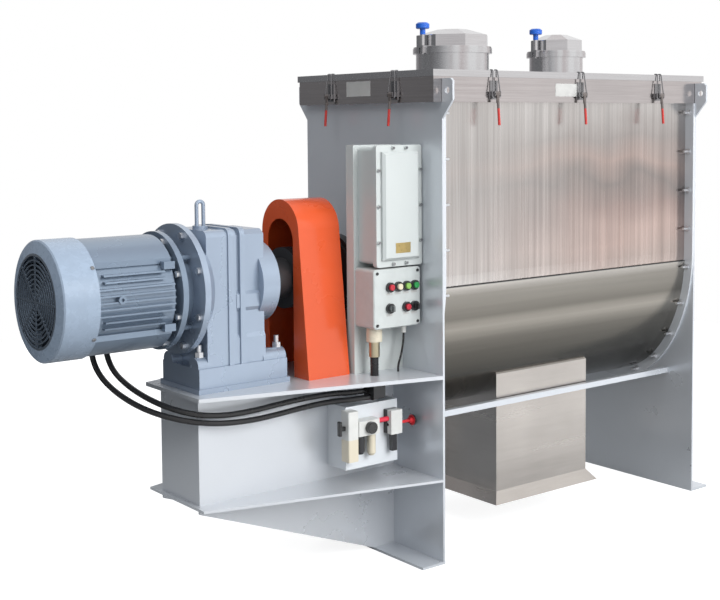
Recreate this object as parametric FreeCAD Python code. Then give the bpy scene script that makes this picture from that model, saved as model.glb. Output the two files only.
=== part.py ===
import FreeCAD, Part
import math
import os

V = FreeCAD.Vector

# A horizontal ribbon mixer. Millimetres. X runs along the shaft from the motor to the far end,
# Z is up with the floor at 0, and Y = 0 is the vertical plane through the shaft.
# While it is modelled, X = 0 is the outer face of the drive-end leg plate. Every piece is moved
# along X by the same amount when it is saved, so that the origin lies under the machine's middle.

# Leg plates and feet
BED_LENGTH = 1283.0
PLATE_T = 8.0
FOOT_WIDTH = 88.0
AXIS_Z = 936.0

# Trough, its cladding, rim and lid
TROUGH_R = 334.0
SHELL_T = 4.0
FLANGE_T = 8.0
FLANGE_REACH = 37.0
FLANGE_BOLT_OUT = 16.0
FLANGE_BOLT_PITCH = 148.0
FLANGE_BOLT_TURN = 16.5
STUD_LENGTH = 30.0
CLAD_PROUD = 5.0
CLAD_T = 2.0
CLAD_TOP = 900.0
SUMP_DEPTH = 165.0
RIM_TOP = 1585.0
RIM_DEPTH = 82.0
RIM_T = 3.0
RIM_SIDE = 35.0
RIM_END = 34.0
GASKET_T = 18.0
GASKET_WIDTH = 18.0
LID_T = 4.0
LID_OVERHANG = 5.0
LIP_DEPTH = 22.0
LIP_T = 3.0

# Lifting ears on the leg plates, measured down from the rim's top
EAR_REACH = 50.0
EAR_LOW_DROP = 135.0
EAR_MID_DROP = 76.0
EAR_TOP_DROP = 7.0
EAR_CHAMFER = 9.0
LIFT_HOLE_R = 11.0
LIFT_HOLE_DROP = 45.0

# Filling hatches
HATCH_LARGE_X = 378.0
HATCH_LARGE_R = 131.0
HATCH_SMALL_X = 913.0
HATCH_SMALL_R = 102.0
NECK_T = 3.0
NECK_HEIGHT = 97.0
RING_WIDTH = 11.0
RING_T = 18.0
COVER_SKIRT = 46.0
COVER_RISE = 22.0
COVER_T = 3.0
COVER_INSET = 6.0
HINGE_PIN_R = 4.0
KNOB_R = 24.0
KNOB_HEAD = 22.0
KNOB_STEM = 20.0
KNOB_STEM_R = 10.0
STUD_R = 4.0

# Discharge
PORT_X = 606.0
PORT_LENGTH = 250.0
PORT_HALF = 85.0
CHUTE_LENGTH = 461.0
CHUTE_HALF = 228.0
CHUTE_DROP = 47.0
CHUTE_LOW = 138.0
CHUTE_T = 3.0
SKIRT_DROP = 38.0
SKIRT_FLARE = 30.0
SHOULDER_LENGTH = 410.0
SHOULDER_HALF = 150.0
FLAP_GAP = 2.0
FLAP_AXIS_Y = 112.0
FLAP_DROP = 28.0
FLAP_SHAFT_R = 8.0
ACTUATOR_LENGTH = 60.0
ACTUATOR_HEIGHT = 72.0
POCKET_GAP = 8.0

# Tie rails between the leg plates
RAIL_Y = 244.0
RAIL_Z = 459.0
RAIL_SIZE = 20.0

# Pedestal under the drive
PEDESTAL_LENGTH = 759.0
WEB_Y = 116.0
WEB_T = 8.0
PLATFORM_TOP = 621.0
PLATFORM_T = 12.0
PLATFORM_LENGTH = 785.0
PLATFORM_END_HALF = 165.0
SHELF_TOP = 280.0
SHELF_T = 8.0
SHELF_LENGTH = 775.0
GUSSET_START = 90.0
STAND_X = 155.0
STAND_LENGTH = 34.0
STAND_HALF = 105.0
STAND_TOP = 790.0

# Drive
GEARBOX_LEFT = 716.0
GEARBOX_RIGHT = 506.0
GEARBOX_HALF = 105.0
GEARBOX_RISE = 179.0
SEAM_RIB_X = 21.0
GEARBOX_WALL = 14.0
BASE_LEFT = 757.0
BASE_RIGHT = 425.0
BASE_TOP = 729.0
BOSS_R = 130.0
BOSS_RIGHT = 464.0
INPUT_FLANGE_R = 200.0
INPUT_FLANGE_X = 776.0
INPUT_FLANGE_T = 20.0
MOTOR_FLANGE_X = 838.0
MOTOR_FLANGE_T = 18.0
MOTOR_FLANGE_R = 180.0
MOTOR_R = 172.0
MOTOR_CORE_R = 157.0
MOTOR_WALL = 9.0
MOTOR_RIGHT = 852.0
COWL_FRONT = 1100.0
COWL_END = 1218.0
COWL_R = 177.0
COWL_T = 3.0
GRILLE_R = 132.0
ROTOR_R = 24.0
PLUG_X = 1031.0
PLUG_R = 12.0

# Shaft line
SHAFT_R = 35.0
COUPLING_R = 100.0
COUPLING_LEFT = 430.0
COUPLING_RIGHT = 270.0
COUPLING_GAP = 6.0
COUPLING_DISC = 20.0
RUN_FIT = 0.05
CLEAR = 0.3
RIBBON_GAP = 8.0
RIBBON_WIDTH = 45.0
RIBBON_T = 8.0
INNER_R = 190.0
INNER_WIDTH = 35.0
RIBBON_END_GAP = 22.5
RIBBON_STATIONS = 7
SPOKE_R = 12.5
SHAFT_END = 30.0

# Coupling guard
GUARD_LEFT = 376.0
GUARD_RIGHT = 214.0
GUARD_RISE = 257.0
GUARD_TOP_R = 105.0
GUARD_FOOT_HALF = 155.0
GUARD_T = 3.0
ARCH_HALF = 73.0
ARCH_RISE = 194.0

# Controls
PANEL_WIDTH = 203.0
PANEL_Y = 165.0
PANEL_T = 3.0
PANEL_TOP = 1367.0
PANEL_FOLD = 35.0
ISO_LEFT = 184.0
ISO_RIGHT = 10.0
ISO_LOW = 985.0
ISO_TOP = 1359.0
ISO_DEPTH = 86.0
BOX_LEFT = 200.0
BOX_RIGHT = 6.0
BOX_LOW = 778.0
BOX_TOP = 971.0
BOX_DEPTH = 100.0
BOX_LID = 26.0
CAP_R = 10.0
CAP_T = 13.0
CAP_TRAVEL = 4.0
BUTTON_TOP_Z = 911.0
BUTTON_LOW_Z = 843.0
BUTTON_PITCH = 34.0
BUTTON_FIRST_X = 136.0

# Lid clamps
CLAMP_PIVOT_N = 15.0
CLAMP_PIVOT_DROP = 55.0
CLAMP_SPREAD = 418.0
CLAMP_END_Y = 175.0
CAM_R = 8.5
WIRE_R = 2.0
BAIL_HALF = 19.0
GRIP_R = 4.5
GRIP_LENGTH = 81.0

# Air treatment
AIR_LEFT = 275.0
AIR_RIGHT = 62.0
AIR_LOW = 325.0
AIR_TOP = 530.0
AIR_Y = 212.0
AIR_T = 3.0

# Cables
CABLE_R = 9.0
CONDUIT_R = 13.0
THIN_R = 3.5

FAR_OUT = BED_LENGTH + PLATE_T
PLATE_HALF = TROUGH_R + FLANGE_REACH
TROUGH_LOW = AXIS_Z - TROUGH_R
CLAD_HALF = TROUGH_R + CLAD_PROUD
CLAD_DEPTH = TROUGH_R + SUMP_DEPTH
RIM_LOW = RIM_TOP - RIM_DEPTH
EAR_LOW = RIM_TOP - EAR_LOW_DROP
EAR_MID = RIM_TOP - EAR_MID_DROP
EAR_TOP = RIM_TOP - EAR_TOP_DROP
LIFT_HOLE_Z = RIM_TOP - LIFT_HOLE_DROP
CLAMP_PIVOT_Z = RIM_TOP - CLAMP_PIVOT_DROP
CHUTE_TOP = TROUGH_LOW - CHUTE_DROP
FLAP_AXIS_Z = TROUGH_LOW - FLAP_DROP
GEARBOX_TOP = AXIS_Z + GEARBOX_RISE
GEARBOX_SEAM = 0.5 * (GEARBOX_LEFT + GEARBOX_RIGHT)
GUARD_TOP = AXIS_Z + GUARD_RISE
ARCH_TOP = AXIS_Z + ARCH_RISE
RIBBON_R = TROUGH_R - SHELL_T - RIBBON_GAP
RIBBON_RUN = BED_LENGTH - PLATE_T - 2.0 * RIBBON_END_GAP
RIBBON_PITCH = 4.0 * RIBBON_RUN / (RIBBON_STATIONS - 1)
X_CENTRE = 0.5 * (FAR_OUT + FOOT_WIDTH - COWL_END)
TROUGH_MID = 0.5 * FAR_OUT
HALF_SPAN = TROUGH_MID + RIM_END
BAND_Y = TROUGH_R + RIM_SIDE
LID_UNDER = RIM_TOP + GASKET_T
LID_TOP = LID_UNDER + LID_T
NECK_TOP = LID_UNDER + NECK_HEIGHT
BOX_FRONT = PANEL_Y + PANEL_T + BOX_DEPTH
EAR_Y = PLATE_HALF + EAR_REACH


def box(x0, x1, y0, y1, z0, z1):
    """A block between two corners."""
    return Part.makeBox(x1 - x0, y1 - y0, z1 - z0, V(x0, y0, z0))


def rod(radius, start, end):
    """A round bar from one point to another."""
    line = V(*end) - V(*start)
    return Part.makeCylinder(radius, line.Length, V(*start), line)


def rod_x(radius, x0, x1, y=0.0, z=AXIS_Z):
    """A round bar along X."""
    return rod(radius, (x0, y, z), (x1, y, z))


def fuse(shapes):
    """One solid from several that touch or overlap."""
    return shapes[0].multiFuse(shapes[1:]).removeSplitter()


def group(shapes):
    """Separate solids kept together in one piece."""
    return Part.makeCompound(shapes)


def plate_yz(points, x0, x1):
    """A flat plate standing across X, drawn by its (y, z) corners."""
    wire = Part.makePolygon([V(x0, y, z) for y, z in points + points[:1]])
    return Part.Face(wire).extrude(V(x1 - x0, 0, 0))


def plate_xz(points, y0, y1):
    """A flat plate standing across Y, drawn by its (x, z) corners."""
    wire = Part.makePolygon([V(x, y0, z) for x, z in points + points[:1]])
    return Part.Face(wire).extrude(V(0, y1 - y0, 0))


def plate_xy(points, z0, z1):
    """A flat plate lying level, drawn by its (x, y) corners."""
    wire = Part.makePolygon([V(x, y, z0) for x, y in points + points[:1]])
    return Part.Face(wire).extrude(V(0, 0, z1 - z0))


def turned(profile, x_axis=True, centre=(0.0, 0.0, 0.0)):
    """A solid turned about the shaft line from (along, radius) corners, or about Z."""
    corners = profile + profile[:1]
    if x_axis:
        wire = Part.makePolygon([V(along, 0, AXIS_Z + radius) for along, radius in corners])
        return Part.Face(wire).revolve(V(0, 0, AXIS_Z), V(1, 0, 0), 360)
    cx, cy, cz = centre
    wire = Part.makePolygon([V(cx + radius, cy, cz + along) for along, radius in corners])
    return Part.Face(wire).revolve(V(cx, cy, cz), V(0, 0, 1), 360)


def along(shape, direction):
    """The straight edges of a block that run along a direction."""
    return [e for e in shape.Edges if abs(e.tangentAt(e.FirstParameter).dot(direction)) > 0.9]


def u_section(radius, top, x0, x1):
    """A U-shaped block: a half circle under the shaft line with straight sides to the top."""
    a = V(x0, -radius, top)
    b = V(x0, -radius, AXIS_Z)
    c = V(x0, 0, AXIS_Z - radius)
    d = V(x0, radius, AXIS_Z)
    e = V(x0, radius, top)
    edges = [Part.makeLine(a, b), Part.Arc(b, c, d).toShape(), Part.makeLine(d, e), Part.makeLine(e, a)]
    return Part.Face(Part.Wire(edges)).extrude(V(x1 - x0, 0, 0))


def deep_section(half, depth, x0, x1, top):
    """A U-shaped block whose bottom is half an ellipse, deeper than it is wide."""
    low = V(x0, 0, AXIS_Z - depth)
    side = V(x0, half, AXIS_Z)
    curve = Part.Ellipse(low, side, V(x0, 0, AXIS_Z))
    arc = Part.ArcOfEllipse(curve, -0.5 * math.pi, 0.5 * math.pi).toShape()
    a = arc.Vertexes[0].Point
    b = arc.Vertexes[-1].Point
    up = V(0, 0, top - AXIS_Z)
    edges = [arc, Part.makeLine(b, b + up), Part.makeLine(b + up, a + up), Part.makeLine(a + up, a)]
    return Part.Face(Part.Wire(edges)).extrude(V(x1 - x0, 0, 0))


def hexagon(across, x, y, z, height, axis):
    """A hexagonal bolt head with its seat at the given point, standing along the axis."""
    radius = across / math.sqrt(3.0)
    points = []
    for i in range(7):
        angle = math.radians(60.0 * i)
        points.append(V(radius * math.cos(angle), radius * math.sin(angle), 0))
    head = Part.Face(Part.makePolygon(points)).extrude(V(0, 0, height))
    head.Placement = FreeCAD.Placement(V(x, y, z), FreeCAD.Rotation(V(0, 0, 1), V(*axis)))
    return head


def bent_path(points, share=0.45, cap=None):
    """Straight runs joined by tangent arcs, each as large as its two runs allow."""
    edges = []
    radii = []
    start = V(*points[0])
    for before, at, after in zip(points, points[1:], points[2:]):
        a = V(*before)
        b = V(*at)
        c = V(*after)
        into = (b - a).normalize()
        out = (c - b).normalize()
        turn = into.getAngle(out)
        reach = share * min((b - a).Length, (c - b).Length)
        radius = reach / math.tan(0.5 * turn)
        if cap is not None and radius > cap:
            radius = cap
            reach = radius * math.tan(0.5 * turn)
        first = b - into * reach
        last = b + out * reach
        middle = (out - into).normalize()
        centre = b + middle * (radius / math.cos(0.5 * turn))
        edges.append(Part.makeLine(start, first))
        edges.append(Part.Arc(first, centre - middle * radius, last).toShape())
        radii.append(radius)
        start = last
    edges.append(Part.makeLine(start, V(*points[-1])))
    return Part.Wire(edges), radii


def tube(points, radius, cap=None):
    """A round wire or cable that follows a bent path."""
    path, radii = bent_path(points, cap=cap)
    heading = V(*points[1]) - V(*points[0])
    ring = Part.Wire([Part.makeCircle(radius, V(*points[0]), heading)])
    return path.makePipeShell([ring], True, False), path.Length, radii


def save(name, shape):
    """Moves a piece to the shared origin and writes it."""
    moved = shape.copy()
    moved.translate(V(-X_CENTRE, 0, 0))
    moved.exportStep(os.path.join("parts", name + ".step"))


def leg_plate(x0, foot_x):
    """End plate with lifting ears, welded foot flange and shaft hole; it closes the trough."""
    notch = BAND_Y + 1.0
    tab = TROUGH_R - SHELL_T
    half = [
        (PLATE_HALF, 0.0), (PLATE_HALF, EAR_LOW), (EAR_Y, EAR_MID), (EAR_Y, EAR_TOP - EAR_CHAMFER),
        (EAR_Y - EAR_CHAMFER, EAR_TOP), (notch, EAR_TOP), (notch, RIM_LOW), (tab, RIM_LOW),
        (tab, RIM_TOP - RIM_T),
    ]
    outline = half + [(-y, z) for y, z in reversed(half)]
    plate = plate_yz(outline, x0, x0 + PLATE_T)
    holes = [rod_x(SHAFT_R + 10.0, x0 - 1.0, x0 + PLATE_T + 1.0)]
    hole_y = 0.5 * (notch + EAR_Y)
    for side in (-1.0, 1.0):
        holes.append(rod_x(LIFT_HOLE_R, x0 - 1.0, x0 + PLATE_T + 1.0, side * hole_y, LIFT_HOLE_Z))
    plate = plate.cut(group(holes))
    foot = box(foot_x, foot_x + FOOT_WIDTH, -PLATE_HALF, PLATE_HALF, 0.0, PLATE_T)
    return fuse([plate, foot])


def tie_rails():
    """Two square bars between the leg plates."""
    bars = []
    for side in (-1.0, 1.0):
        y = side * RAIL_Y
        half = 0.5 * RAIL_SIZE
        bars.append(box(PLATE_T, BED_LENGTH, y - half, y + half, RAIL_Z - half, RAIL_Z + half))
    return group(bars)


def cladding():
    """Deeper sheet round the trough's lower half, cut out for the outlet and its actuator."""
    x0 = PLATE_T + FLANGE_T
    x1 = BED_LENGTH - FLANGE_T
    above = AXIS_Z + 1.0
    outer = deep_section(CLAD_HALF, CLAD_DEPTH, x0, x1, above)
    inner = deep_section(CLAD_HALF - CLAD_T, CLAD_DEPTH - CLAD_T, x0 - 1.0, x1 + 1.0, above + 1.0)
    trim = box(x0 - 1.0, x1 + 1.0, -PLATE_HALF, PLATE_HALF, CLAD_TOP, above + 1.0)
    ledge = box(x0 - 2.0, x1 + 2.0, -PLATE_HALF, PLATE_HALF, CLAD_TOP - CLAD_T, above + 2.0)
    trough = u_section(TROUGH_R, above + 1.0, x0 - 1.0, x1 + 1.0)
    sheet = outer.cut(trim).cut(inner.cut(ledge)).cut(trough)
    start = PORT_X + 0.5 * CHUTE_LENGTH
    top = FLAP_AXIS_Z + 18.0
    pocket = box(
        start - 1.0, start + ACTUATOR_LENGTH + POCKET_GAP, FLAP_AXIS_Y - 40.0 - POCKET_GAP,
        FLAP_AXIS_Y + 78.0 + POCKET_GAP, AXIS_Z - CLAD_DEPTH - 1.0, top + POCKET_GAP)
    return sheet.cut(chute_block(0.0)).cut(pocket)


def trough_shell():
    """Sheet trough with its end flanges and discharge port, and the cladding round its lower half."""
    inner_r = TROUGH_R - SHELL_T
    top = RIM_TOP - RIM_T
    shell = u_section(TROUGH_R, top, PLATE_T, BED_LENGTH)
    flanges = []
    for x0 in (PLATE_T, BED_LENGTH - FLANGE_T):
        flange_depth = CLAD_DEPTH + FLANGE_REACH
        flanges.append(deep_section(PLATE_HALF, flange_depth, x0, x0 + FLANGE_T, RIM_LOW))
    body = fuse([shell] + flanges)
    body = body.cut(u_section(inner_r, top + 1.0, PLATE_T, BED_LENGTH))
    half = 0.5 * PORT_LENGTH
    port = box(
        PORT_X - half, PORT_X + half, -PORT_HALF, PORT_HALF, TROUGH_LOW - 1.0, TROUGH_LOW + PORT_HALF)
    return group([body.cut(port), cladding()])


def flange_bolt_places():
    """Half of a flange's bolt pattern as (y, z): down the side, then round the deep curve."""
    half = TROUGH_R + FLANGE_BOLT_OUT
    depth = CLAD_DEPTH + FLANGE_BOLT_OUT
    places = []
    z = RIM_LOW - 35.0
    while z > AXIS_Z:
        places.append((half, z))
        z -= FLANGE_BOLT_PITCH
    angle = math.degrees((AXIS_Z - z) / depth)
    while angle < 88.0:
        turn = math.radians(angle)
        places.append((half * math.cos(turn), AXIS_Z - depth * math.sin(turn)))
        angle += FLANGE_BOLT_TURN
    return places


def flange_bolts():
    """Nuts and studs along both trough flanges, with the gearbox foot nuts and flange screws."""
    heads = []
    for x0, way in ((PLATE_T + FLANGE_T, 1.0), (BED_LENGTH - FLANGE_T, -1.0)):
        for side in (-1.0, 1.0):
            for y, z in flange_bolt_places():
                nut = hexagon(17.0, x0, side * y, z, 8.0, (way, 0, 0))
                end = x0 + way * STUD_LENGTH
                heads.append(fuse([nut, rod(5.0, (x0, side * y, z), (end, side * y, z))]))
    for x in (-BASE_LEFT + 26.0, -BASE_RIGHT - 24.0):
        for side in (-1.0, 1.0):
            y = side * (GEARBOX_HALF - 25.0)
            heads.append(hexagon(24.0, x, y, BASE_TOP, 16.0, (0, 0, 1)))
            heads.append(rod(8.0, (x, y, BASE_TOP + 16.0), (x, y, BASE_TOP + 38.0)))
    for i in range(8):
        angle = math.radians(22.5 + 45.0 * i)
        for radius, x in ((INPUT_FLANGE_R - 20.0, -INPUT_FLANGE_X), (MOTOR_FLANGE_R - 16.0, -MOTOR_FLANGE_X)):
            y = radius * math.cos(angle)
            z = AXIS_Z + radius * math.sin(angle)
            heads.append(hexagon(18.0, x, y, z, 10.0, (-1, 0, 0)))
    return group(heads)


def rim_band():
    """Folded channel round the trough's top edge, open towards the trough."""
    outer = box(-RIM_END, FAR_OUT + RIM_END, -BAND_Y, BAND_Y, RIM_LOW, RIM_TOP)
    pocket = box(
        -RIM_END + RIM_T, FAR_OUT + RIM_END - RIM_T, -BAND_Y + RIM_T, BAND_Y - RIM_T,
        RIM_LOW + RIM_T, RIM_TOP - RIM_T)
    low_hole = box(0.0, FAR_OUT, -TROUGH_R, TROUGH_R, RIM_LOW, RIM_TOP - RIM_T)
    inner_y = TROUGH_R - SHELL_T
    top_hole = box(PLATE_T, BED_LENGTH, -inner_y, inner_y, RIM_TOP - RIM_T, RIM_TOP)
    return outer.cut(group([pocket])).cut(low_hole).cut(top_hole)


def lid_gasket():
    """Rubber seal between the rim and the lid."""
    inner_y = TROUGH_R - SHELL_T
    outer = box(
        PLATE_T - GASKET_WIDTH, BED_LENGTH + GASKET_WIDTH, -inner_y - GASKET_WIDTH, inner_y + GASKET_WIDTH,
        RIM_TOP, LID_UNDER)
    return outer.cut(box(PLATE_T, BED_LENGTH, -inner_y, inner_y, RIM_TOP, LID_UNDER))


def hatches():
    """Place and radius of the two filling hatches."""
    return ((HATCH_LARGE_X, HATCH_LARGE_R), (HATCH_SMALL_X, HATCH_SMALL_R))


def hatch_hinge_x(x, radius):
    """The cover's hinge line lies past the neck ring, towards the far end."""
    return x + radius + RING_WIDTH + 10.0


def hatch_stud_x(x, radius):
    """The hand knob's stud stands past the neck ring, towards the motor."""
    return x - radius - RING_WIDTH + 2.0


def neck_hardware(x, radius):
    """Hinge ears and the slotted ear for the stud, both on the neck's ring."""
    hinge_x = hatch_hinge_x(x, radius)
    stud_x = hatch_stud_x(x, radius)
    low = NECK_TOP - RING_T
    pieces = []
    for side in (-1.0, 1.0):
        y = side * 17.0
        pieces.append(box(x + radius, hinge_x + 9.0, y - 3.0, y + 3.0, low, NECK_TOP))
        pieces.append(box(hinge_x - 9.0, hinge_x + 9.0, y - 3.0, y + 3.0, NECK_TOP, NECK_TOP + 8.0))
    pieces.append(box(stud_x - 13.0, x - radius + 2.0, -14.0, 14.0, low, NECK_TOP))
    return pieces


def stud_slot(x, radius):
    """The slot that lets the knob's stud swing out of the ring."""
    stud_x = hatch_stud_x(x, radius)
    half = STUD_R + 0.6
    return box(stud_x - 14.0, stud_x + half, -half, half, NECK_TOP - RING_T - 1.0, NECK_TOP + 1.0)


def lid():
    """Flat lid with a down-turned lip and the two welded filling necks."""
    half = HALF_SPAN + LID_OVERHANG
    half_y = BAND_Y + LID_OVERHANG
    low = LID_TOP - LIP_DEPTH
    x0 = TROUGH_MID - half
    x1 = TROUGH_MID + half
    body = box(x0, x1, -half_y, half_y, low, LID_TOP)
    body = body.cut(box(x0 + LIP_T, x1 - LIP_T, -half_y + LIP_T, half_y - LIP_T, low, LID_UNDER))
    pieces = [body]
    bores = []
    pins = []
    for x, radius in hatches():
        pieces.append(rod(radius, (x, 0, LID_UNDER), (x, 0, NECK_TOP)))
        pieces.append(rod(radius + RING_WIDTH, (x, 0, NECK_TOP - RING_T), (x, 0, NECK_TOP)))
        pieces += neck_hardware(x, radius)
        bores.append(rod(radius - NECK_T, (x, 0, LID_UNDER - 1.0), (x, 0, NECK_TOP + 1.0)))
        bores.append(stud_slot(x, radius))
        hinge_x = hatch_hinge_x(x, radius)
        pins.append(rod(HINGE_PIN_R, (hinge_x, -22.0, NECK_TOP + 2.0), (hinge_x, 22.0, NECK_TOP + 2.0)))
    return fuse(pieces).cut(group(bores)).fuse(group(pins)).removeSplitter()


def octagon(x, half, z):
    """Eight corners round a hatch centre, with flats facing along X and Y."""
    radius = half / math.cos(math.pi / 8.0)
    points = []
    for i in range(9):
        angle = math.radians(22.5 + 45.0 * i)
        points.append(V(x + radius * math.cos(angle), radius * math.sin(angle), z))
    return Part.makePolygon(points)


def pan(x, half, low, skirt, rise):
    """Eight-sided pan: upright sides under a shallow sloping roof."""
    side = Part.makeLoft([octagon(x, half, low), octagon(x, half, low + skirt)], True, True)
    crown = octagon(x, 0.42 * half, low + skirt + rise)
    roof = Part.makeLoft([octagon(x, half, low + skirt), crown], True, True)
    return fuse([side, roof])


def hatch_cover(x, radius):
    """Pressed cover with a rolled edge plate, hinge arm and the sleeve for the hand knob."""
    half = radius - COVER_INSET
    low = NECK_TOP + CLEAR
    shell = pan(x, half, low, COVER_SKIRT, COVER_RISE)
    hollow = pan(x, half - COVER_T, low, COVER_SKIRT - COVER_T, COVER_RISE)
    edge = rod(radius + RING_WIDTH - 2.0, (x, 0, low), (x, 0, low + 5.0))
    mouth = rod(radius - 30.0, (x, 0, low - 1.0), (x, 0, low + 6.0))
    shell = fuse([shell.cut(hollow), edge.cut(mouth)])
    hinge_x = hatch_hinge_x(x, radius)
    pin_z = NECK_TOP + 2.0
    arm = box(x + half - 2.0, hinge_x + 8.0, -13.0, 13.0, low, low + 9.0)
    knuckle = rod(8.0, (hinge_x, -13.0, pin_z), (hinge_x, 13.0, pin_z))
    stud_x = hatch_stud_x(x, radius)
    lug = box(stud_x - 12.0, x - half + 2.0, -14.0, 14.0, low, low + 8.0)
    sleeve = rod(9.0, (stud_x, 0, low + 8.0), (stud_x, 0, low + COVER_SKIRT))
    body = fuse([shell, arm, knuckle, lug, sleeve])
    bores = [
        rod(HINGE_PIN_R + RUN_FIT, (hinge_x, -14.0, pin_z), (hinge_x, 14.0, pin_z)),
        rod(STUD_R + RUN_FIT, (stud_x, 0, low - 1.0), (stud_x, 0, low + COVER_SKIRT + 1.0)),
    ]
    return body.cut(group(bores))


def hatch_knob(x, radius):
    """Hand knob on a stud that passes through the cover's sleeve into the ring's slot."""
    stud_x = hatch_stud_x(x, radius)
    base = NECK_TOP + CLEAR + COVER_SKIRT + CLEAR
    low = NECK_TOP - RING_T - 4.0 - base
    top = KNOB_STEM + KNOB_HEAD
    profile = [
        (low, 0.0), (low, STUD_R), (0.0, STUD_R), (0.0, KNOB_STEM_R), (KNOB_STEM, KNOB_STEM_R),
        (KNOB_STEM, KNOB_R - 3.0), (KNOB_STEM + 3.0, KNOB_R), (top - 5.0, KNOB_R),
        (top, KNOB_R - 7.0), (top, 0.0),
    ]
    return turned(profile, False, (stud_x, 0.0, base))


def clamp_frames():
    """Turn about Z and place for each lid clamp: three on each long side and two on each end."""
    places = []
    for i in (-1, 0, 1):
        places.append(("front", 0.0, TROUGH_MID + i * CLAMP_SPREAD, -BAND_Y))
    for i in (-1, 0, 1):
        places.append(("rear", 180.0, TROUGH_MID + i * CLAMP_SPREAD, BAND_Y))
    for i in (-1, 1):
        places.append(("drive", 270.0, -RIM_END, i * CLAMP_END_Y))
    for i in (-1, 1):
        places.append(("far", 90.0, FAR_OUT + RIM_END, i * CLAMP_END_Y))
    return places


def placed(shape, turn, x, y):
    """Puts a clamp piece, modelled facing -Y at the origin, on its place round the rim."""
    moved = shape.copy()
    moved.rotate(V(0, 0, 0), V(0, 0, 1), turn)
    moved.translate(V(x, y, 0))
    return moved


def clamp_base():
    """Screwed base plate with two ears and the lever's pin, facing -Y."""
    n = -CLAMP_PIVOT_N
    z = CLAMP_PIVOT_Z
    back = box(-17.0, 17.0, -3.0, 0.0, z - 18.0, z + 44.0)
    pieces = [back]
    for side in (-1.0, 1.0):
        x = side * 12.75
        pieces.append(box(x - 1.25, x + 1.25, n - 7.0, -3.0, z - 7.5, z + 8.0))
    pieces.append(rod(2.5, (-14.0, n, z), (14.0, n, z)))
    return fuse(pieces)


def clamp_lever():
    """Cam on the pin, a short arm and the dipped hand grip hanging down, facing -Y."""
    n = -CLAMP_PIVOT_N
    z = CLAMP_PIVOT_Z
    cam = rod(CAM_R, (-11.0, n, z), (11.0, n, z))
    arm = box(-5.0, 5.0, n - 8.0, n - 3.2, z - 30.0, z - 2.0)
    grip_top = z - 22.0
    grip = rod(GRIP_R, (0, n - 6.5, grip_top), (0, n - 13.0, grip_top - GRIP_LENGTH))
    body = fuse([cam, arm, grip])
    return body.cut(rod(2.5 + RUN_FIT, (-12.0, n, z), (12.0, n, z)))


def clamp_bail():
    """Wire bail from under the cam up and over the lid's edge, facing -Y."""
    n = -CLAMP_PIVOT_N
    low = CLAMP_PIVOT_Z - CAM_R - WIRE_R - CLEAR
    edge = -LID_OVERHANG - WIRE_R - 1.0
    over = LID_TOP + WIRE_R + 0.1
    route = [
        (-10.0, 6.0, over), (-10.0, edge, over), (-BAIL_HALF, n, low), (BAIL_HALF, n, low),
        (10.0, edge, over), (10.0, 6.0, over),
    ]
    return tube(route, WIRE_R, cap=6.0)[0]


def hopper(z0, length0, half0, z1, length1, half1):
    """A block with four sloping sides between two level rectangles centred on the port."""
    wires = []
    for z, length, half in ((z0, length0, half0), (z1, length1, half1)):
        a = PORT_X - 0.5 * length
        b = PORT_X + 0.5 * length
        corners = [V(a, -half, z), V(b, -half, z), V(b, half, z), V(a, half, z)]
        wires.append(Part.makePolygon(corners + corners[:1]))
    return Part.makeLoft(wires, True, True)


def chute_block(inset):
    """The outlet box with its shoulder and its flared skirt, drawn in by the sheet's thickness."""
    length = CHUTE_LENGTH - 2.0 * inset
    half = CHUTE_HALF - inset
    saddle = AXIS_Z - math.sqrt(TROUGH_R ** 2 - SHOULDER_HALF ** 2) + 10.0
    low = CHUTE_LOW - SKIRT_DROP
    upright = box(PORT_X - 0.5 * length, PORT_X + 0.5 * length, -half, half, CHUTE_LOW, CHUTE_TOP)
    shoulder = hopper(
        CHUTE_TOP, length, half, saddle, SHOULDER_LENGTH - 2.0 * inset, SHOULDER_HALF - inset)
    skirt = hopper(CHUTE_LOW, length, half, low, length + 2.0 * SKIRT_FLARE, half + SKIRT_FLARE)
    return fuse([upright, shoulder, skirt])


def discharge_chute():
    """Sheet-metal outlet under the trough: shoulder, upright box and flared skirt."""
    half = 0.5 * CHUTE_LENGTH
    x0 = PORT_X - half
    x1 = PORT_X + half
    body = chute_block(0.0).cut(chute_block(CHUTE_T))
    body = body.cut(rod_x(TROUGH_R, x0 - 10.0, x1 + 10.0))
    return body.cut(rod_x(FLAP_SHAFT_R + RUN_FIT, x0, x1, FLAP_AXIS_Y, FLAP_AXIS_Z))


def flap_actuator():
    """Rotary air actuator on the outlet box's far side, round the flap shaft's end."""
    start = PORT_X + 0.5 * CHUTE_LENGTH
    stop = start + ACTUATOR_LENGTH
    top = FLAP_AXIS_Z + 18.0
    body = box(start, stop, FLAP_AXIS_Y - 40.0, FLAP_AXIS_Y + 78.0, top - ACTUATOR_HEIGHT, top)
    body = body.makeChamfer(4.0, along(body, V(0, 1, 0)))
    bore = rod_x(FLAP_SHAFT_R + RUN_FIT, start - 1.0, stop - 12.0, FLAP_AXIS_Y, FLAP_AXIS_Z)
    return body.cut(bore)


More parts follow.
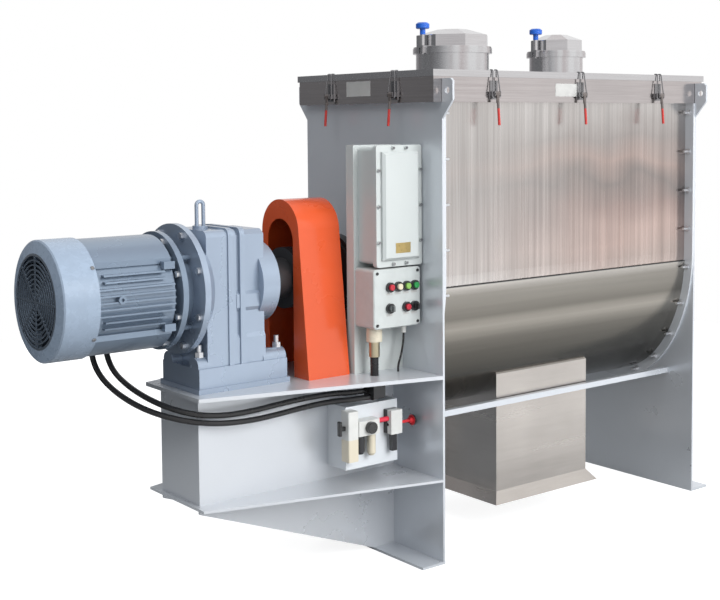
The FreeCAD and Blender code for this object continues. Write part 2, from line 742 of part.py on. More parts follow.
def discharge_flap():
    """Curved door that fills the port, on two ribs and a shaft along X."""
    half = 0.5 * PORT_LENGTH - FLAP_GAP
    reach = PORT_HALF - FLAP_GAP
    skin = u_section(TROUGH_R, AXIS_Z + 1.0, PORT_X - half, PORT_X + half)
    skin = skin.cut(u_section(TROUGH_R - SHELL_T, AXIS_Z + 2.0, PORT_X - half, PORT_X + half))
    skin = skin.common(box(PORT_X - half, PORT_X + half, -reach, reach, AXIS_Z - TROUGH_R - 1.0, AXIS_Z))
    pieces = [skin]
    side_z = AXIS_Z - math.sqrt(TROUGH_R ** 2 - reach ** 2)
    profile = [
        (-reach + 6.0, side_z), (-reach + 6.0, side_z - 18.0), (FLAP_AXIS_Y - 8.0, FLAP_AXIS_Z - 12.0),
        (FLAP_AXIS_Y + 9.0, FLAP_AXIS_Z - 12.0), (FLAP_AXIS_Y + 9.0, FLAP_AXIS_Z + 8.0),
        (reach - 6.0, side_z - 6.0), (reach - 12.0, side_z + 6.0),
    ]
    for x in (PORT_X - 0.6 * half, PORT_X + 0.6 * half):
        rib = plate_yz(profile, x - 5.0, x + 5.0)
        pieces.append(rib.cut(rod_x(TROUGH_R - 1.0, x - 10.0, x + 10.0)))
    start = PORT_X - 0.5 * CHUTE_LENGTH + 2.0
    end = PORT_X + 0.5 * CHUTE_LENGTH + ACTUATOR_LENGTH - 14.0
    pieces.append(rod_x(FLAP_SHAFT_R, start, end, FLAP_AXIS_Y, FLAP_AXIS_Z))
    return fuse(pieces)


def pedestal_frame():
    """Box under the drive: two upright webs, their end plate, the lower gussets and a bearing stand."""
    low = SHELF_TOP
    high = PLATFORM_TOP - PLATFORM_T
    inner = WEB_Y - WEB_T
    pieces = []
    for side in (-1.0, 1.0):
        y0 = min(side * inner, side * WEB_Y)
        pieces.append(box(-PEDESTAL_LENGTH, 0.0, y0, y0 + WEB_T, low, high))
    pieces.append(box(-PEDESTAL_LENGTH, -PEDESTAL_LENGTH + WEB_T, -WEB_Y, WEB_Y, low, high))
    solids = [fuse(pieces)]
    under = SHELF_TOP - SHELF_T
    corners = [
        (-PEDESTAL_LENGTH, under), (-PEDESTAL_LENGTH, under - 18.0), (-GUSSET_START, PLATE_T),
        (0.0, PLATE_T), (0.0, under),
    ]
    for side in (-1.0, 1.0):
        y0 = min(side * inner, side * WEB_Y)
        solids.append(plate_xz(corners, y0, y0 + WEB_T))
    return group(solids)


def bearing_stand():
    """Folded stand on the platform that carries the drive-side bearing."""
    half_x = 0.5 * STAND_LENGTH
    block = box(
        -STAND_X - half_x, -STAND_X + half_x, -STAND_HALF, STAND_HALF, PLATFORM_TOP, STAND_TOP)
    tops = [e for e in along(block, V(1, 0, 0)) if e.BoundBox.ZMin > STAND_TOP - 1.0]
    block = block.makeFillet(14.0, tops)
    hollow = box(
        -STAND_X - half_x + 6.0, -STAND_X + half_x - 6.0, -STAND_HALF + 6.0, STAND_HALF - 6.0,
        PLATFORM_TOP, STAND_TOP - 10.0)
    return block.cut(hollow)


def deck(length, end_half, top, thick):
    """A level plate that widens from the motor end to the leg plate."""
    corners = [(-length, -end_half), (0.0, -PLATE_HALF), (0.0, PLATE_HALF), (-length, end_half)]
    return plate_xy(corners, top - thick, top)


def shelf_end_half():
    """The shelf's edges run parallel to the platform's, so its end is a little wider."""
    slope = (PLATE_HALF - PLATFORM_END_HALF) / PLATFORM_LENGTH
    return PLATE_HALF - slope * SHELF_LENGTH


def gearbox_housing():
    """Cast housing with seam ribs, stepped output half, foot base with lugs, flanges and boss."""
    mid = GEARBOX_HALF
    lean = 6.0
    block = box(-GEARBOX_LEFT, -GEARBOX_SEAM, -mid, mid, BASE_TOP - 40.0, GEARBOX_TOP)
    edges = [e for e in along(block, V(1, 0, 0)) if e.BoundBox.ZMin > GEARBOX_TOP - 1.0]
    block = block.makeFillet(22.0, edges)
    step = [
        (mid, BASE_TOP - 40.0), (mid, 776.0), (mid - lean, 790.0), (mid - lean, 860.0), (mid + 2.0, 872.0),
        (mid + 2.0, 912.0), (mid - lean, 922.0), (mid - lean, GEARBOX_TOP - 18.0),
        (mid - 26.0, GEARBOX_TOP - 4.0),
    ]
    outline = step + [(-y, z) for y, z in reversed(step)]
    output = plate_yz(outline, -GEARBOX_SEAM, -GEARBOX_RIGHT)
    pieces = [block, output]
    for x in (-GEARBOX_SEAM - SEAM_RIB_X, -GEARBOX_SEAM + SEAM_RIB_X):
        rib = box(x - 9.0, x + 9.0, -mid - 5.0, mid + 5.0, BASE_TOP - 40.0, GEARBOX_TOP + 5.0)
        tops = [e for e in along(rib, V(1, 0, 0)) if e.BoundBox.ZMin > GEARBOX_TOP]
        pieces.append(rib.makeFillet(24.0, tops))
    lip = PLATFORM_TOP + 16.0
    pieces.append(box(-BASE_LEFT, -BASE_RIGHT, -mid - 15.0, mid + 15.0, PLATFORM_TOP, lip))
    pieces.append(box(-BASE_LEFT + 6.0, -BASE_RIGHT - 6.0, -mid - 8.0, mid + 8.0, lip, BASE_TOP - 32.0))
    lug_y = mid - 25.0
    for x0, x1 in ((-BASE_LEFT + 6.0, -GEARBOX_LEFT + 10.0), (-GEARBOX_RIGHT - 10.0, -BASE_RIGHT - 6.0)):
        for side in (-1.0, 1.0):
            pieces.append(rod_x(28.0, x0, x1, side * lug_y, BASE_TOP - 28.0))
            y0 = side * lug_y - 9.0
            pieces.append(box(x0 + 6.0, x1 - 6.0, y0, y0 + 18.0, BASE_TOP - 20.0, BASE_TOP))
    pieces.append(rod_x(BOSS_R, -GEARBOX_RIGHT - 20.0, -BOSS_RIGHT))
    pieces.append(rod_x(INPUT_FLANGE_R, -INPUT_FLANGE_X, -INPUT_FLANGE_X + INPUT_FLANGE_T))
    bell = [
        (-INPUT_FLANGE_X + 10.0, 0.0), (-INPUT_FLANGE_X + 10.0, INPUT_FLANGE_R - 14.0),
        (-GEARBOX_LEFT + 4.0, mid + 42.0), (-GEARBOX_LEFT + 4.0, 0.0),
    ]
    pieces.append(turned(bell))
    body = fuse(pieces)
    wall = GEARBOX_WALL
    cavity = box(
        -GEARBOX_LEFT + wall, -GEARBOX_RIGHT - wall, -mid + 22.0, mid - 22.0, PLATFORM_TOP + 30.0,
        GEARBOX_TOP - 30.0)
    shaft = rod_x(SHAFT_R + 2.0 + RUN_FIT, -GEARBOX_RIGHT - 30.0, -BOSS_RIGHT + 1.0)
    inlet = rod_x(90.0, -INPUT_FLANGE_X - 1.0, -GEARBOX_LEFT + 20.0)
    return body.cut(group([cavity])).cut(shaft).cut(inlet)


def lifting_eye():
    """Oblong lifting link standing on the gearbox."""
    x = -0.5 * (GEARBOX_LEFT + GEARBOX_SEAM + SEAM_RIB_X)
    route = [
        (x - 12.0, 0, GEARBOX_TOP - 1.0), (x - 12.0, 0, GEARBOX_TOP + 84.0),
        (x + 12.0, 0, GEARBOX_TOP + 84.0), (x + 12.0, 0, GEARBOX_TOP - 1.0),
    ]
    link = tube(route, 6.0, cap=12.0)[0]
    foot = rod(24.0, (x, 0, GEARBOX_TOP), (x, 0, GEARBOX_TOP + 9.0))
    return fuse([link.cut(box(x - 40.0, x + 40.0, -20.0, 20.0, GEARBOX_TOP - 5.0, GEARBOX_TOP)), foot])


def motor_body():
    """Finned motor frame with smooth top and bottom, flange, neck, terminal box and stator."""
    left = -COWL_FRONT - 4.0
    right = -MOTOR_RIGHT
    pieces = [rod_x(MOTOR_CORE_R, left, right)]
    envelope = rod_x(MOTOR_R, left, right)
    for side in (-1.0, 1.0):
        z0 = min(AXIS_Z + side * 96.0, AXIS_Z + side * 200.0)
        pieces.append(envelope.common(box(left, right, -130.0, 130.0, z0, z0 + 104.0)))
    fins = []
    for i in range(-4, 5):
        z = AXIS_Z + 19.0 * i
        inset = 0.0 if abs(i) < 3 else 26.0
        fins.append(box(left + inset, right - 6.0 - inset, -MOTOR_R, MOTOR_R, z - 2.5, z + 2.5))
    pieces.append(envelope.common(group(fins)))
    for side in (-1.0, 1.0):
        for z in (AXIS_Z - 92.0, AXIS_Z + 92.0):
            y0 = min(side * 128.0, side * 152.0)
            pieces.append(box(right - 34.0, right + 2.0, y0, y0 + 24.0, z - 11.0, z + 11.0))
    pieces.append(rod_x(128.0, right - 2.0, -MOTOR_FLANGE_X + 4.0))
    pieces.append(rod_x(MOTOR_FLANGE_R, -MOTOR_FLANGE_X, -MOTOR_FLANGE_X + MOTOR_FLANGE_T))
    pieces.append(rod_x(132.0, -MOTOR_FLANGE_X + MOTOR_FLANGE_T - 2.0, -INPUT_FLANGE_X))
    for i in range(4):
        angle = math.radians(45.0 + 90.0 * i)
        y = 148.0 * math.cos(angle)
        z = AXIS_Z + 148.0 * math.sin(angle)
        pieces.append(rod_x(8.0, right - 8.0, -MOTOR_FLANGE_X + 2.0, y, z))
        pieces.append(rod_x(8.0, -MOTOR_FLANGE_X + MOTOR_FLANGE_T - 2.0, -INPUT_FLANGE_X, y, z))
    plug_z = AXIS_Z + 7.0
    pieces.append(rod(PLUG_R, (-PLUG_X, -MOTOR_CORE_R + 4.0, plug_z), (-PLUG_X, -MOTOR_R - 4.0, plug_z)))
    frame = fuse(pieces)
    frame = frame.cut(rod(5.0, (-PLUG_X, -MOTOR_R + 4.0, plug_z), (-PLUG_X, -MOTOR_R - 5.0, plug_z)))
    bore_r = MOTOR_CORE_R - MOTOR_WALL
    frame = frame.cut(rod_x(bore_r, left - 1.0, right - 20.0))
    frame = frame.cut(rod_x(90.0, right - 30.0, -INPUT_FLANGE_X - 10.0))
    frame = frame.cut(rod_x(ROTOR_R + RUN_FIT, -INPUT_FLANGE_X - 11.0, -INPUT_FLANGE_X + 1.0))
    stator = rod_x(bore_r, -COWL_FRONT + 30.0, right - 50.0)
    stator = stator.cut(rod_x(92.0, -COWL_FRONT + 29.0, right - 49.0))
    end_shield = rod_x(bore_r, left, left + 12.0).cut(rod_x(ROTOR_R + RUN_FIT, left - 1.0, left + 13.0))
    return group([frame, stator, end_shield])


TERMINAL_X = 925.0
TERMINAL_HALF = 70.0
TERMINAL_LOW = 850.0
TERMINAL_HIGH = 1010.0
TERMINAL_DEPTH = 92.0


def terminal_box():
    """Terminal box on the motor's rear side, with its lid."""
    y0 = MOTOR_R - 22.0
    foot = box(
        -TERMINAL_X - TERMINAL_HALF + 14.0, -TERMINAL_X + TERMINAL_HALF - 14.0, y0, MOTOR_R + 6.0,
        TERMINAL_LOW + 16.0, TERMINAL_HIGH - 16.0)
    foot = foot.cut(rod_x(MOTOR_R, -TERMINAL_X - 100.0, -TERMINAL_X + 100.0))
    case = box(
        -TERMINAL_X - TERMINAL_HALF, -TERMINAL_X + TERMINAL_HALF, MOTOR_R + 6.0,
        MOTOR_R - 22.0 + TERMINAL_DEPTH, TERMINAL_LOW, TERMINAL_HIGH)
    uprights = along(case, V(0, 1, 0))
    case = case.makeFillet(10.0, uprights)
    return fuse([foot, case])


def fan_cowl():
    """Deep-drawn cowl with a shallow dished end and a grille of rings and spokes."""
    end = -COWL_END
    front = -COWL_FRONT
    profile = [
        (front, COWL_R - COWL_T), (front, COWL_R), (end + 13.0, COWL_R), (end + 9.0, COWL_R - 4.0),
        (end, GRILLE_R), (end + COWL_T, GRILLE_R), (end + 12.0, COWL_R - 6.0),
        (end + 15.0, COWL_R - COWL_T),
    ]
    pieces = [turned(profile)]
    rings = 8
    hub_r = 24.0
    step = (GRILLE_R - hub_r) / rings
    for i in range(rings):
        outer = hub_r + step * i + 3.0
        ring = [(end, outer - 4.0), (end, outer), (end + COWL_T, outer), (end + COWL_T, outer - 4.0)]
        pieces.append(turned(ring))
    for i in range(4):
        angle = 45.0 * i
        bar = box(end, end + COWL_T, -2.5, 2.5, AXIS_Z - GRILLE_R - 1.0, AXIS_Z + GRILLE_R + 1.0)
        bar.rotate(V(0, 0, AXIS_Z), V(1, 0, 0), angle)
        pieces.append(bar)
    seat = MOTOR_R + 0.2
    for i in range(4):
        angle = 45.0 + 90.0 * i
        tab = box(front - 14.0, front - 2.0, -9.0, 9.0, AXIS_Z + seat, AXIS_Z + COWL_R - 1.0)
        tab.rotate(V(0, 0, AXIS_Z), V(1, 0, 0), angle)
        pieces.append(tab)
    return fuse(pieces)


def motor_rotor():
    """Rotor core and shaft, with the cooling fan on its tail."""
    front = -INPUT_FLANGE_X + 30.0
    core = [
        (-COWL_END + 14.0, 0.0), (-COWL_END + 14.0, ROTOR_R), (-COWL_FRONT + 40.0, ROTOR_R),
        (-COWL_FRONT + 40.0, 90.0), (-MOTOR_RIGHT - 60.0, 90.0), (-MOTOR_RIGHT - 60.0, ROTOR_R),
        (front, ROTOR_R), (front, 0.0),
    ]
    shaft = turned(core)
    hub_left = -COWL_END + 18.0
    hub_right = -COWL_FRONT - 16.0
    hub = fuse([rod_x(44.0, hub_left, hub_right), rod_x(60.0, hub_right - 5.0, hub_right)])
    blades = [hub.cut(rod_x(ROTOR_R, hub_left - 1.0, hub_right + 1.0))]
    for i in range(8):
        blade = box(hub_left, hub_right, -2.0, 2.0, AXIS_Z + 40.0, AXIS_Z + 140.0)
        blade.rotate(V(0, 0, AXIS_Z), V(1, 0, 0), 45.0 * i)
        blades.append(blade)
    return group([shaft, fuse(blades)])


def coupling_guard():
    """Sheet guard over the coupling: rounded top, sides flaring to the platform, arched end plate."""
    centre = GUARD_TOP - GUARD_TOP_R

    def outline(inset, x):
        top_r = GUARD_TOP_R - inset
        foot = GUARD_FOOT_HALF - inset
        low = PLATFORM_TOP
        left_foot = V(x, -foot, low)
        left = V(x, -top_r, centre)
        crown = V(x, 0, centre + top_r)
        right = V(x, top_r, centre)
        right_foot = V(x, foot, low)
        edges = [
            Part.makeLine(left_foot, left), Part.Arc(left, crown, right).toShape(),
            Part.makeLine(right, right_foot), Part.makeLine(right_foot, left_foot),
        ]
        return Part.Face(Part.Wire(edges))

    length = GUARD_LEFT - GUARD_RIGHT
    body = outline(0.0, -GUARD_LEFT).extrude(V(length, 0, 0))
    inside = outline(GUARD_T, -GUARD_LEFT + GUARD_T).extrude(V(length - 2.0 * GUARD_T, 0, 0))
    arch_centre = ARCH_TOP - ARCH_HALF
    outside = -GUARD_LEFT - 1.0
    within = -GUARD_LEFT + GUARD_T + 1.0
    arch = fuse([
        box(outside, within, -ARCH_HALF, ARCH_HALF, PLATFORM_TOP - 1.0, arch_centre),
        rod_x(ARCH_HALF, outside, within, 0.0, arch_centre)])
    exit_hole = rod_x(SHAFT_R + 14.0, -GUARD_RIGHT - GUARD_T - 1.0, -GUARD_RIGHT + 1.0)
    slot = box(
        -GUARD_RIGHT - GUARD_T - 1.0, -GUARD_RIGHT + 1.0, -SHAFT_R - 14.0, SHAFT_R + 14.0,
        PLATFORM_TOP - 1.0, AXIS_Z)
    return body.cut(inside).cut(arch).cut(exit_hole).cut(slot)


def drive_bearing():
    """Pillow block on the stand: round body, foot and shaft bore."""
    half_x = 24.0
    x0 = -STAND_X - half_x
    x1 = -STAND_X + half_x
    body = rod_x(118.0, x0, x1)
    cap = rod_x(132.0, x0 + 9.0, x1 - 9.0)
    foot = box(x0 + 4.0, x1 - 4.0, -128.0, 128.0, STAND_TOP, STAND_TOP + 34.0)
    under = box(x0 - 1.0, x1 + 1.0, -140.0, 140.0, STAND_TOP - 80.0, STAND_TOP)
    bore = rod_x(SHAFT_R + RUN_FIT, x0 - 1.0, x1 + 1.0)
    return fuse([body, cap, foot]).cut(under).cut(bore)


def shaft_bearings():
    """Pillow block, packing gland on the drive plate and flange bearing on the far plate."""
    gland = [
        (-14.0, SHAFT_R + RUN_FIT), (-14.0, 92.0), (0.0, 92.0), (0.0, SHAFT_R + RUN_FIT),
    ]
    stuffing = [
        (-58.0, SHAFT_R + RUN_FIT), (-58.0, 60.0), (-14.0, 60.0), (-14.0, SHAFT_R + RUN_FIT),
    ]
    follower = [
        (-72.0, SHAFT_R + RUN_FIT), (-72.0, 72.0), (-62.0, 72.0), (-62.0, 50.0), (-58.0, 50.0),
        (-58.0, SHAFT_R + RUN_FIT),
    ]
    far = FAR_OUT
    flange = [
        (far, SHAFT_R + RUN_FIT), (far, 95.0), (far + 16.0, 95.0), (far + 22.0, 66.0), (far + 44.0, 62.0),
        (far + 44.0, 0.0), (far + 38.0, 0.0), (far + 38.0, SHAFT_R + RUN_FIT),
    ]
    return group([drive_bearing(), fuse([turned(gland), turned(stuffing)]), turned(follower), turned(flange)])


def shaft_coupling():
    """Gearbox output stub with the two coupling hubs and the elastic ring between them."""
    stub_r = SHAFT_R + 2.0
    mid = -0.5 * (COUPLING_LEFT + COUPLING_RIGHT)
    gap = 0.5 * COUPLING_GAP
    disc = COUPLING_DISC
    stub = rod_x(stub_r, -GEARBOX_RIGHT - 20.0, mid - gap)
    hub_a = [
        (-COUPLING_LEFT, stub_r), (-COUPLING_LEFT, 66.0), (mid - disc, 66.0), (mid - disc, COUPLING_R),
        (mid - gap, COUPLING_R), (mid - gap, stub_r),
    ]
    hub_b = [
        (mid + gap, SHAFT_R), (mid + gap, COUPLING_R), (mid + disc, COUPLING_R), (mid + disc, 66.0),
        (-COUPLING_RIGHT, 66.0), (-COUPLING_RIGHT, SHAFT_R),
    ]
    rim = COUPLING_R - 8.0
    ring = [(mid - gap, 40.0), (mid - gap, rim), (mid + gap, rim), (mid + gap, 40.0)]
    return group([stub, turned(hub_a), turned(hub_b), turned(ring)])


def agitator_shaft():
    """Through shaft with a cross bore for every spoke."""
    mid = -0.5 * (COUPLING_LEFT + COUPLING_RIGHT)
    shaft = rod_x(SHAFT_R, mid + 0.5 * COUPLING_GAP, FAR_OUT + SHAFT_END)
    return shaft.cut(group(spokes(SHAFT_R + 5.0)))


def ribbon_start():
    """The ribbons' first station: they are centred between the leg plates."""
    run = (RIBBON_STATIONS - 1) * 0.25 * RIBBON_PITCH
    return TROUGH_MID - 0.5 * run


def spokes(reach):
    """Round bars through the shaft, each a quarter turn from the last."""
    bars = []
    for i in range(RIBBON_STATIONS):
        x = ribbon_start() + 0.25 * RIBBON_PITCH * i
        angle = math.radians(90.0 * i)
        y = reach * math.cos(angle)
        z = reach * math.sin(angle)
        bars.append(rod(SPOKE_R, (x, -y, AXIS_Z - z), (x, y, AXIS_Z + z)))
    return bars


def ribbon(outer_r, width, hand, start_angle):
    """One helical flat bar, swept round the shaft line on edge."""
    run = (RIBBON_STATIONS - 1) * 0.25 * RIBBON_PITCH
    helix = Part.makeHelix(RIBBON_PITCH, run, outer_r - 0.5 * width, 0.0, hand < 0)
    inner = outer_r - width
    half_t = 0.5 * RIBBON_T
    corners = [V(inner, 0, -half_t), V(outer_r, 0, -half_t), V(outer_r, 0, half_t), V(inner, 0, half_t)]
    section = Part.makePolygon(corners + corners[:1])
    solid = Part.Wire(helix.Edges).makePipeShell([section], True, True)
    solid.rotate(V(0, 0, 0), V(0, 0, 1), start_angle)
    solid.rotate(V(0, 0, 0), V(0, 1, 0), 90.0)
    solid.translate(V(ribbon_start(), 0, AXIS_Z))
    return solid


def ribbons(outer_r, width, hand):
    """Two equal ribbons, half a turn apart."""
    return group([ribbon(outer_r, width, hand, 90.0), ribbon(outer_r, width, hand, 270.0)])


def control_panel():
    """Upright sheet with folded edges, standing on the platform beside the leg plate."""
    y = -PANEL_Y
    front = box(-PANEL_WIDTH, 0.0, y - PANEL_T, y, PLATFORM_TOP, PANEL_TOP)
    left = box(-PANEL_WIDTH, -PANEL_WIDTH + PANEL_T, y, y + PANEL_FOLD, PLATFORM_TOP, PANEL_TOP)
    right = box(-PANEL_T, 0.0, y, y + PANEL_FOLD, PLATFORM_TOP, PANEL_TOP)
    top = box(-PANEL_WIDTH, 0.0, y, y + PANEL_FOLD, PANEL_TOP - PANEL_T, PANEL_TOP)
    return fuse([front, left, right, top])


def isolator_box():
    """Flameproof switch box: cast body, bolted flange and raised cover, with its hinge lugs."""
    back = -PANEL_Y - PANEL_T
    front = back - ISO_DEPTH
    body = box(-ISO_LEFT, -ISO_RIGHT, front, back, ISO_LOW, ISO_TOP)
    body = body.makeFillet(12.0, along(body, V(0, 1, 0)))
    flange = box(-ISO_LEFT - 7.0, -ISO_RIGHT + 8.0, front - 8.0, front, ISO_LOW - 8.0, ISO_TOP + 8.0)
    flange = flange.makeFillet(10.0, along(flange, V(0, 1, 0)))
    door = box(-ISO_LEFT - 7.0, -ISO_RIGHT + 8.0, front - 18.0, front - 8.0, ISO_LOW - 8.0, ISO_TOP + 8.0)
    door = door.makeFillet(10.0, along(door, V(0, 1, 0)))
    raised = box(
        -ISO_LEFT + 12.0, -ISO_RIGHT - 12.0, front - 34.0, front - 18.0, ISO_LOW + 14.0, ISO_TOP - 14.0)
    raised = raised.makeChamfer(8.0, [e for e in raised.Edges if e.BoundBox.YMax < front - 33.0])
    heads = []
    for z in (ISO_LOW + 72.0, 0.5 * (ISO_LOW + ISO_TOP), ISO_TOP - 72.0):
        for x in (-ISO_LEFT + 1.0, -ISO_RIGHT):
            heads.append(hexagon(11.0, x, front - 18.0, z, 7.0, (0, -1, 0)))
    for x in (-ISO_LEFT + 60.0, -ISO_RIGHT - 60.0):
        for z in (ISO_LOW + 1.0, ISO_TOP - 1.0):
            heads.append(hexagon(11.0, x, front - 18.0, z, 7.0, (0, -1, 0)))
    return group([fuse([body, flange]), fuse([door, raised])] + heads)


def button_places():
    """Name, x, z and kind of each control on the button box."""
    top = [-BUTTON_FIRST_X + BUTTON_PITCH * i for i in range(4)]
    return (
        ("stop_button", top[0], BUTTON_TOP_Z, "push"),
        ("lamp_test_button", top[1], BUTTON_TOP_Z, "push"),
        ("jog_button", top[2], BUTTON_TOP_Z, "push"),
        ("start_button", top[3], BUTTON_TOP_Z, "push"),
        ("mode_selector", top[0], BUTTON_LOW_Z, "turn"),
        ("flap_close_button", top[2], BUTTON_LOW_Z, "push"),
        ("flap_selector", top[3], BUTTON_LOW_Z, "turn"),
    )


def button_box():
    """Cast button box: body, lid, corner screws and a collar round each control."""
    back = -PANEL_Y - PANEL_T
    seam = -BOX_FRONT + BOX_LID
    body = box(-BOX_LEFT, -BOX_RIGHT, seam, back, BOX_LOW, BOX_TOP)
    body = body.makeFillet(12.0, along(body, V(0, 1, 0)))
    cover = box(-BOX_LEFT, -BOX_RIGHT, -BOX_FRONT, seam, BOX_LOW, BOX_TOP)
    cover = cover.makeFillet(12.0, along(cover, V(0, 1, 0)))
    cover = cover.makeChamfer(3.0, [e for e in cover.Edges if e.BoundBox.YMax < -BOX_FRONT + 0.1])
    collars = []
    bores = []
    for name, x, z, kind in button_places():
        collar = rod(16.0, (x, -BOX_FRONT, z), (x, -BOX_FRONT - 10.0, z))
        collars.append(collar.cut(rod(CAP_R + CLEAR, (x, -BOX_FRONT + 1.0, z), (x, -BOX_FRONT - 11.0, z))))
        bores.append(rod(6.0 + CLEAR, (x, -BOX_FRONT - 1.0, z), (x, -BOX_FRONT + 16.0, z)))
    cover = cover.cut(group(bores))
    screws = []
    for x in (-BOX_LEFT + 13.0, -BOX_RIGHT - 13.0):
        for z in (BOX_LOW + 13.0, BOX_TOP - 13.0):
            screws.append(rod(5.0, (x, -BOX_FRONT, z), (x, -BOX_FRONT - 3.0, z)))
    return group([body, cover] + collars + screws)


def control(x, z, kind):
    """A push cap, or a selector with a finger bar, on its stem."""
    face = -BOX_FRONT - 5.0 - CAP_T
    cap = rod(CAP_R, (x, face, z), (x, face + CAP_T, z))
    if kind == "push":
        cap = cap.makeChamfer(1.5, [e for e in cap.Edges if e.BoundBox.YMax < face + 0.1])
    stem = rod(6.0, (x, face + CAP_T - 1.0, z), (x, -BOX_FRONT + 11.0, z))
    pieces = [cap, stem]
    if kind == "turn":
        pieces.append(box(x - 3.5, x + 3.5, face - 8.0, face + 1.0, z - CAP_R + 1.0, z + CAP_R - 1.0))
    return fuse(pieces)


GLAND_X = 159.0
GLAND_Y = 216.0
SMALL_GLAND_X = 35.0
JOINT_LEFT = -183.0
CABLE_GLAND_Y = 214.0
GLAND_DROP = 34.0


def cable_fittings():
    """Glands under the button box and the terminal box, and the junction sleeve on the web."""
    solids = []
    big = [
        (BOX_LOW, 0.0), (BOX_LOW, 26.0), (BOX_LOW - 46.0, 26.0), (BOX_LOW - 46.0, 18.0),
        (BOX_LOW - 96.0, 18.0), (BOX_LOW - 96.0, 0.0),
    ]
    solids.append(turned(big, False, (-GLAND_X, -GLAND_Y, 0.0)))
    small = [(BOX_LOW, 0.0), (BOX_LOW, 10.0), (BOX_LOW - 30.0, 8.0), (BOX_LOW - 30.0, 0.0)]
    solids.append(turned(small, False, (-SMALL_GLAND_X, -GLAND_Y, 0.0)))
    for x in cable_gland_x():
        nut = [
            (TERMINAL_LOW, 0.0), (TERMINAL_LOW, 17.0), (TERMINAL_LOW - 16.0, 17.0),
            (TERMINAL_LOW - GLAND_DROP, 12.0), (TERMINAL_LOW - GLAND_DROP, 0.0),
        ]
        solids.append(turned(nut, False, (x, CABLE_GLAND_Y, 0.0)))
    under = PLATFORM_TOP - PLATFORM_T
    joint = box(JOINT_LEFT, JOINT_LEFT + 48.0, -242.0, -190.0, under - 64.0, under)
    lower = [e for e in along(joint, V(1, 0, 0)) if e.BoundBox.ZMax < under - 60.0]
    solids.append(joint.makeFillet(8.0, lower))
    return group(solids)


def cable_gland_x():
    """The two motor cables leave the terminal box side by side."""
    return (-TERMINAL_X - 24.0, -TERMINAL_X + 24.0)


MOTOR_CABLE_A = [
    (-901.0, 214.0, 816.0), (-901.0, 214.0, 756.0), (-900.0, 196.0, 704.0), (-897.0, 160.0, 668.0),
    (-889.0, 108.0, 642.0), (-875.0, 52.0, 619.0), (-854.0, -8.0, 599.0), (-826.0, -72.0, 582.0),
    (-776.0, -134.0, 567.0), (-704.0, -154.0, 558.0), (-630.0, -153.0, 555.0), (-556.0, -150.0, 557.0),
    (-484.0, -149.0, 562.0), (-414.0, -152.0, 566.0), (-350.0, -162.0, 570.0), (-292.0, -178.0, 573.0),
    (-238.0, -204.0, 572.0), (-183.0, -204.0, 572.0),
]

MOTOR_CABLE_B = [
    (-949.0, 214.0, 816.0), (-949.0, 214.0, 752.0), (-947.0, 200.0, 698.0), (-942.0, 164.0, 660.0),
    (-932.0, 112.0, 630.0), (-914.0, 56.0, 604.0), (-886.0, -4.0, 580.0), (-846.0, -66.0, 561.0),
    (-790.0, -122.0, 546.0), (-722.0, -152.0, 536.0), (-650.0, -161.0, 531.0), (-576.0, -159.0, 529.0),
    (-502.0, -157.0, 532.0), (-430.0, -159.0, 538.0), (-364.0, -169.0, 545.0), (-304.0, -188.0, 551.0),
    (-244.0, -222.0, 554.0), (-183.0, -222.0, 554.0),
]

CONTROL_CONDUIT = [
    (-159.0, -216.0, 682.0), (-159.0, -216.0, 609.0),
]

SENSOR_CABLE = [
    (-35.0, -216.0, 748.0), (-36.0, -216.0, 726.0), (-43.0, -218.0, 696.0), (-53.0, -221.0, 668.0),
    (-62.0, -219.0, 643.0), (-62.0, -219.0, 621.0),
]


def cable(name, route, radius):
    """A cable's tube; its tightest bends and its volume are printed for checking."""
    solid, length, radii = tube(route, radius)
    even = math.pi * radius ** 2 * length
    print(name, "length", round(length), "radii", [round(r) for r in radii], "volume share",
          round(solid.Volume / even, 4), "valid", solid.isValid())
    return solid


def air_bracket():
    """Folded bracket on the web that carries the air treatment units."""
    front = box(-AIR_LEFT, -AIR_RIGHT, -AIR_Y, -AIR_Y + AIR_T, AIR_LOW, AIR_TOP)
    left = box(-AIR_LEFT, -AIR_LEFT + AIR_T, -AIR_Y, -WEB_Y, AIR_LOW, AIR_TOP)
    right = box(-AIR_RIGHT - AIR_T, -AIR_RIGHT, -AIR_Y, -WEB_Y, AIR_LOW, AIR_TOP)
    return fuse([front, left, right])


REG_LEFT = -254.0
REG_RIGHT = -168.0
REG_X = 210.0
REG_Z = 465.0
VALVE_LEFT = -119.0
VALVE_RIGHT = -73.0
PLUNGER_Z = 455.0
SPOOL_R = 5.0
AIR_UNIT_DEPTH = 44.0


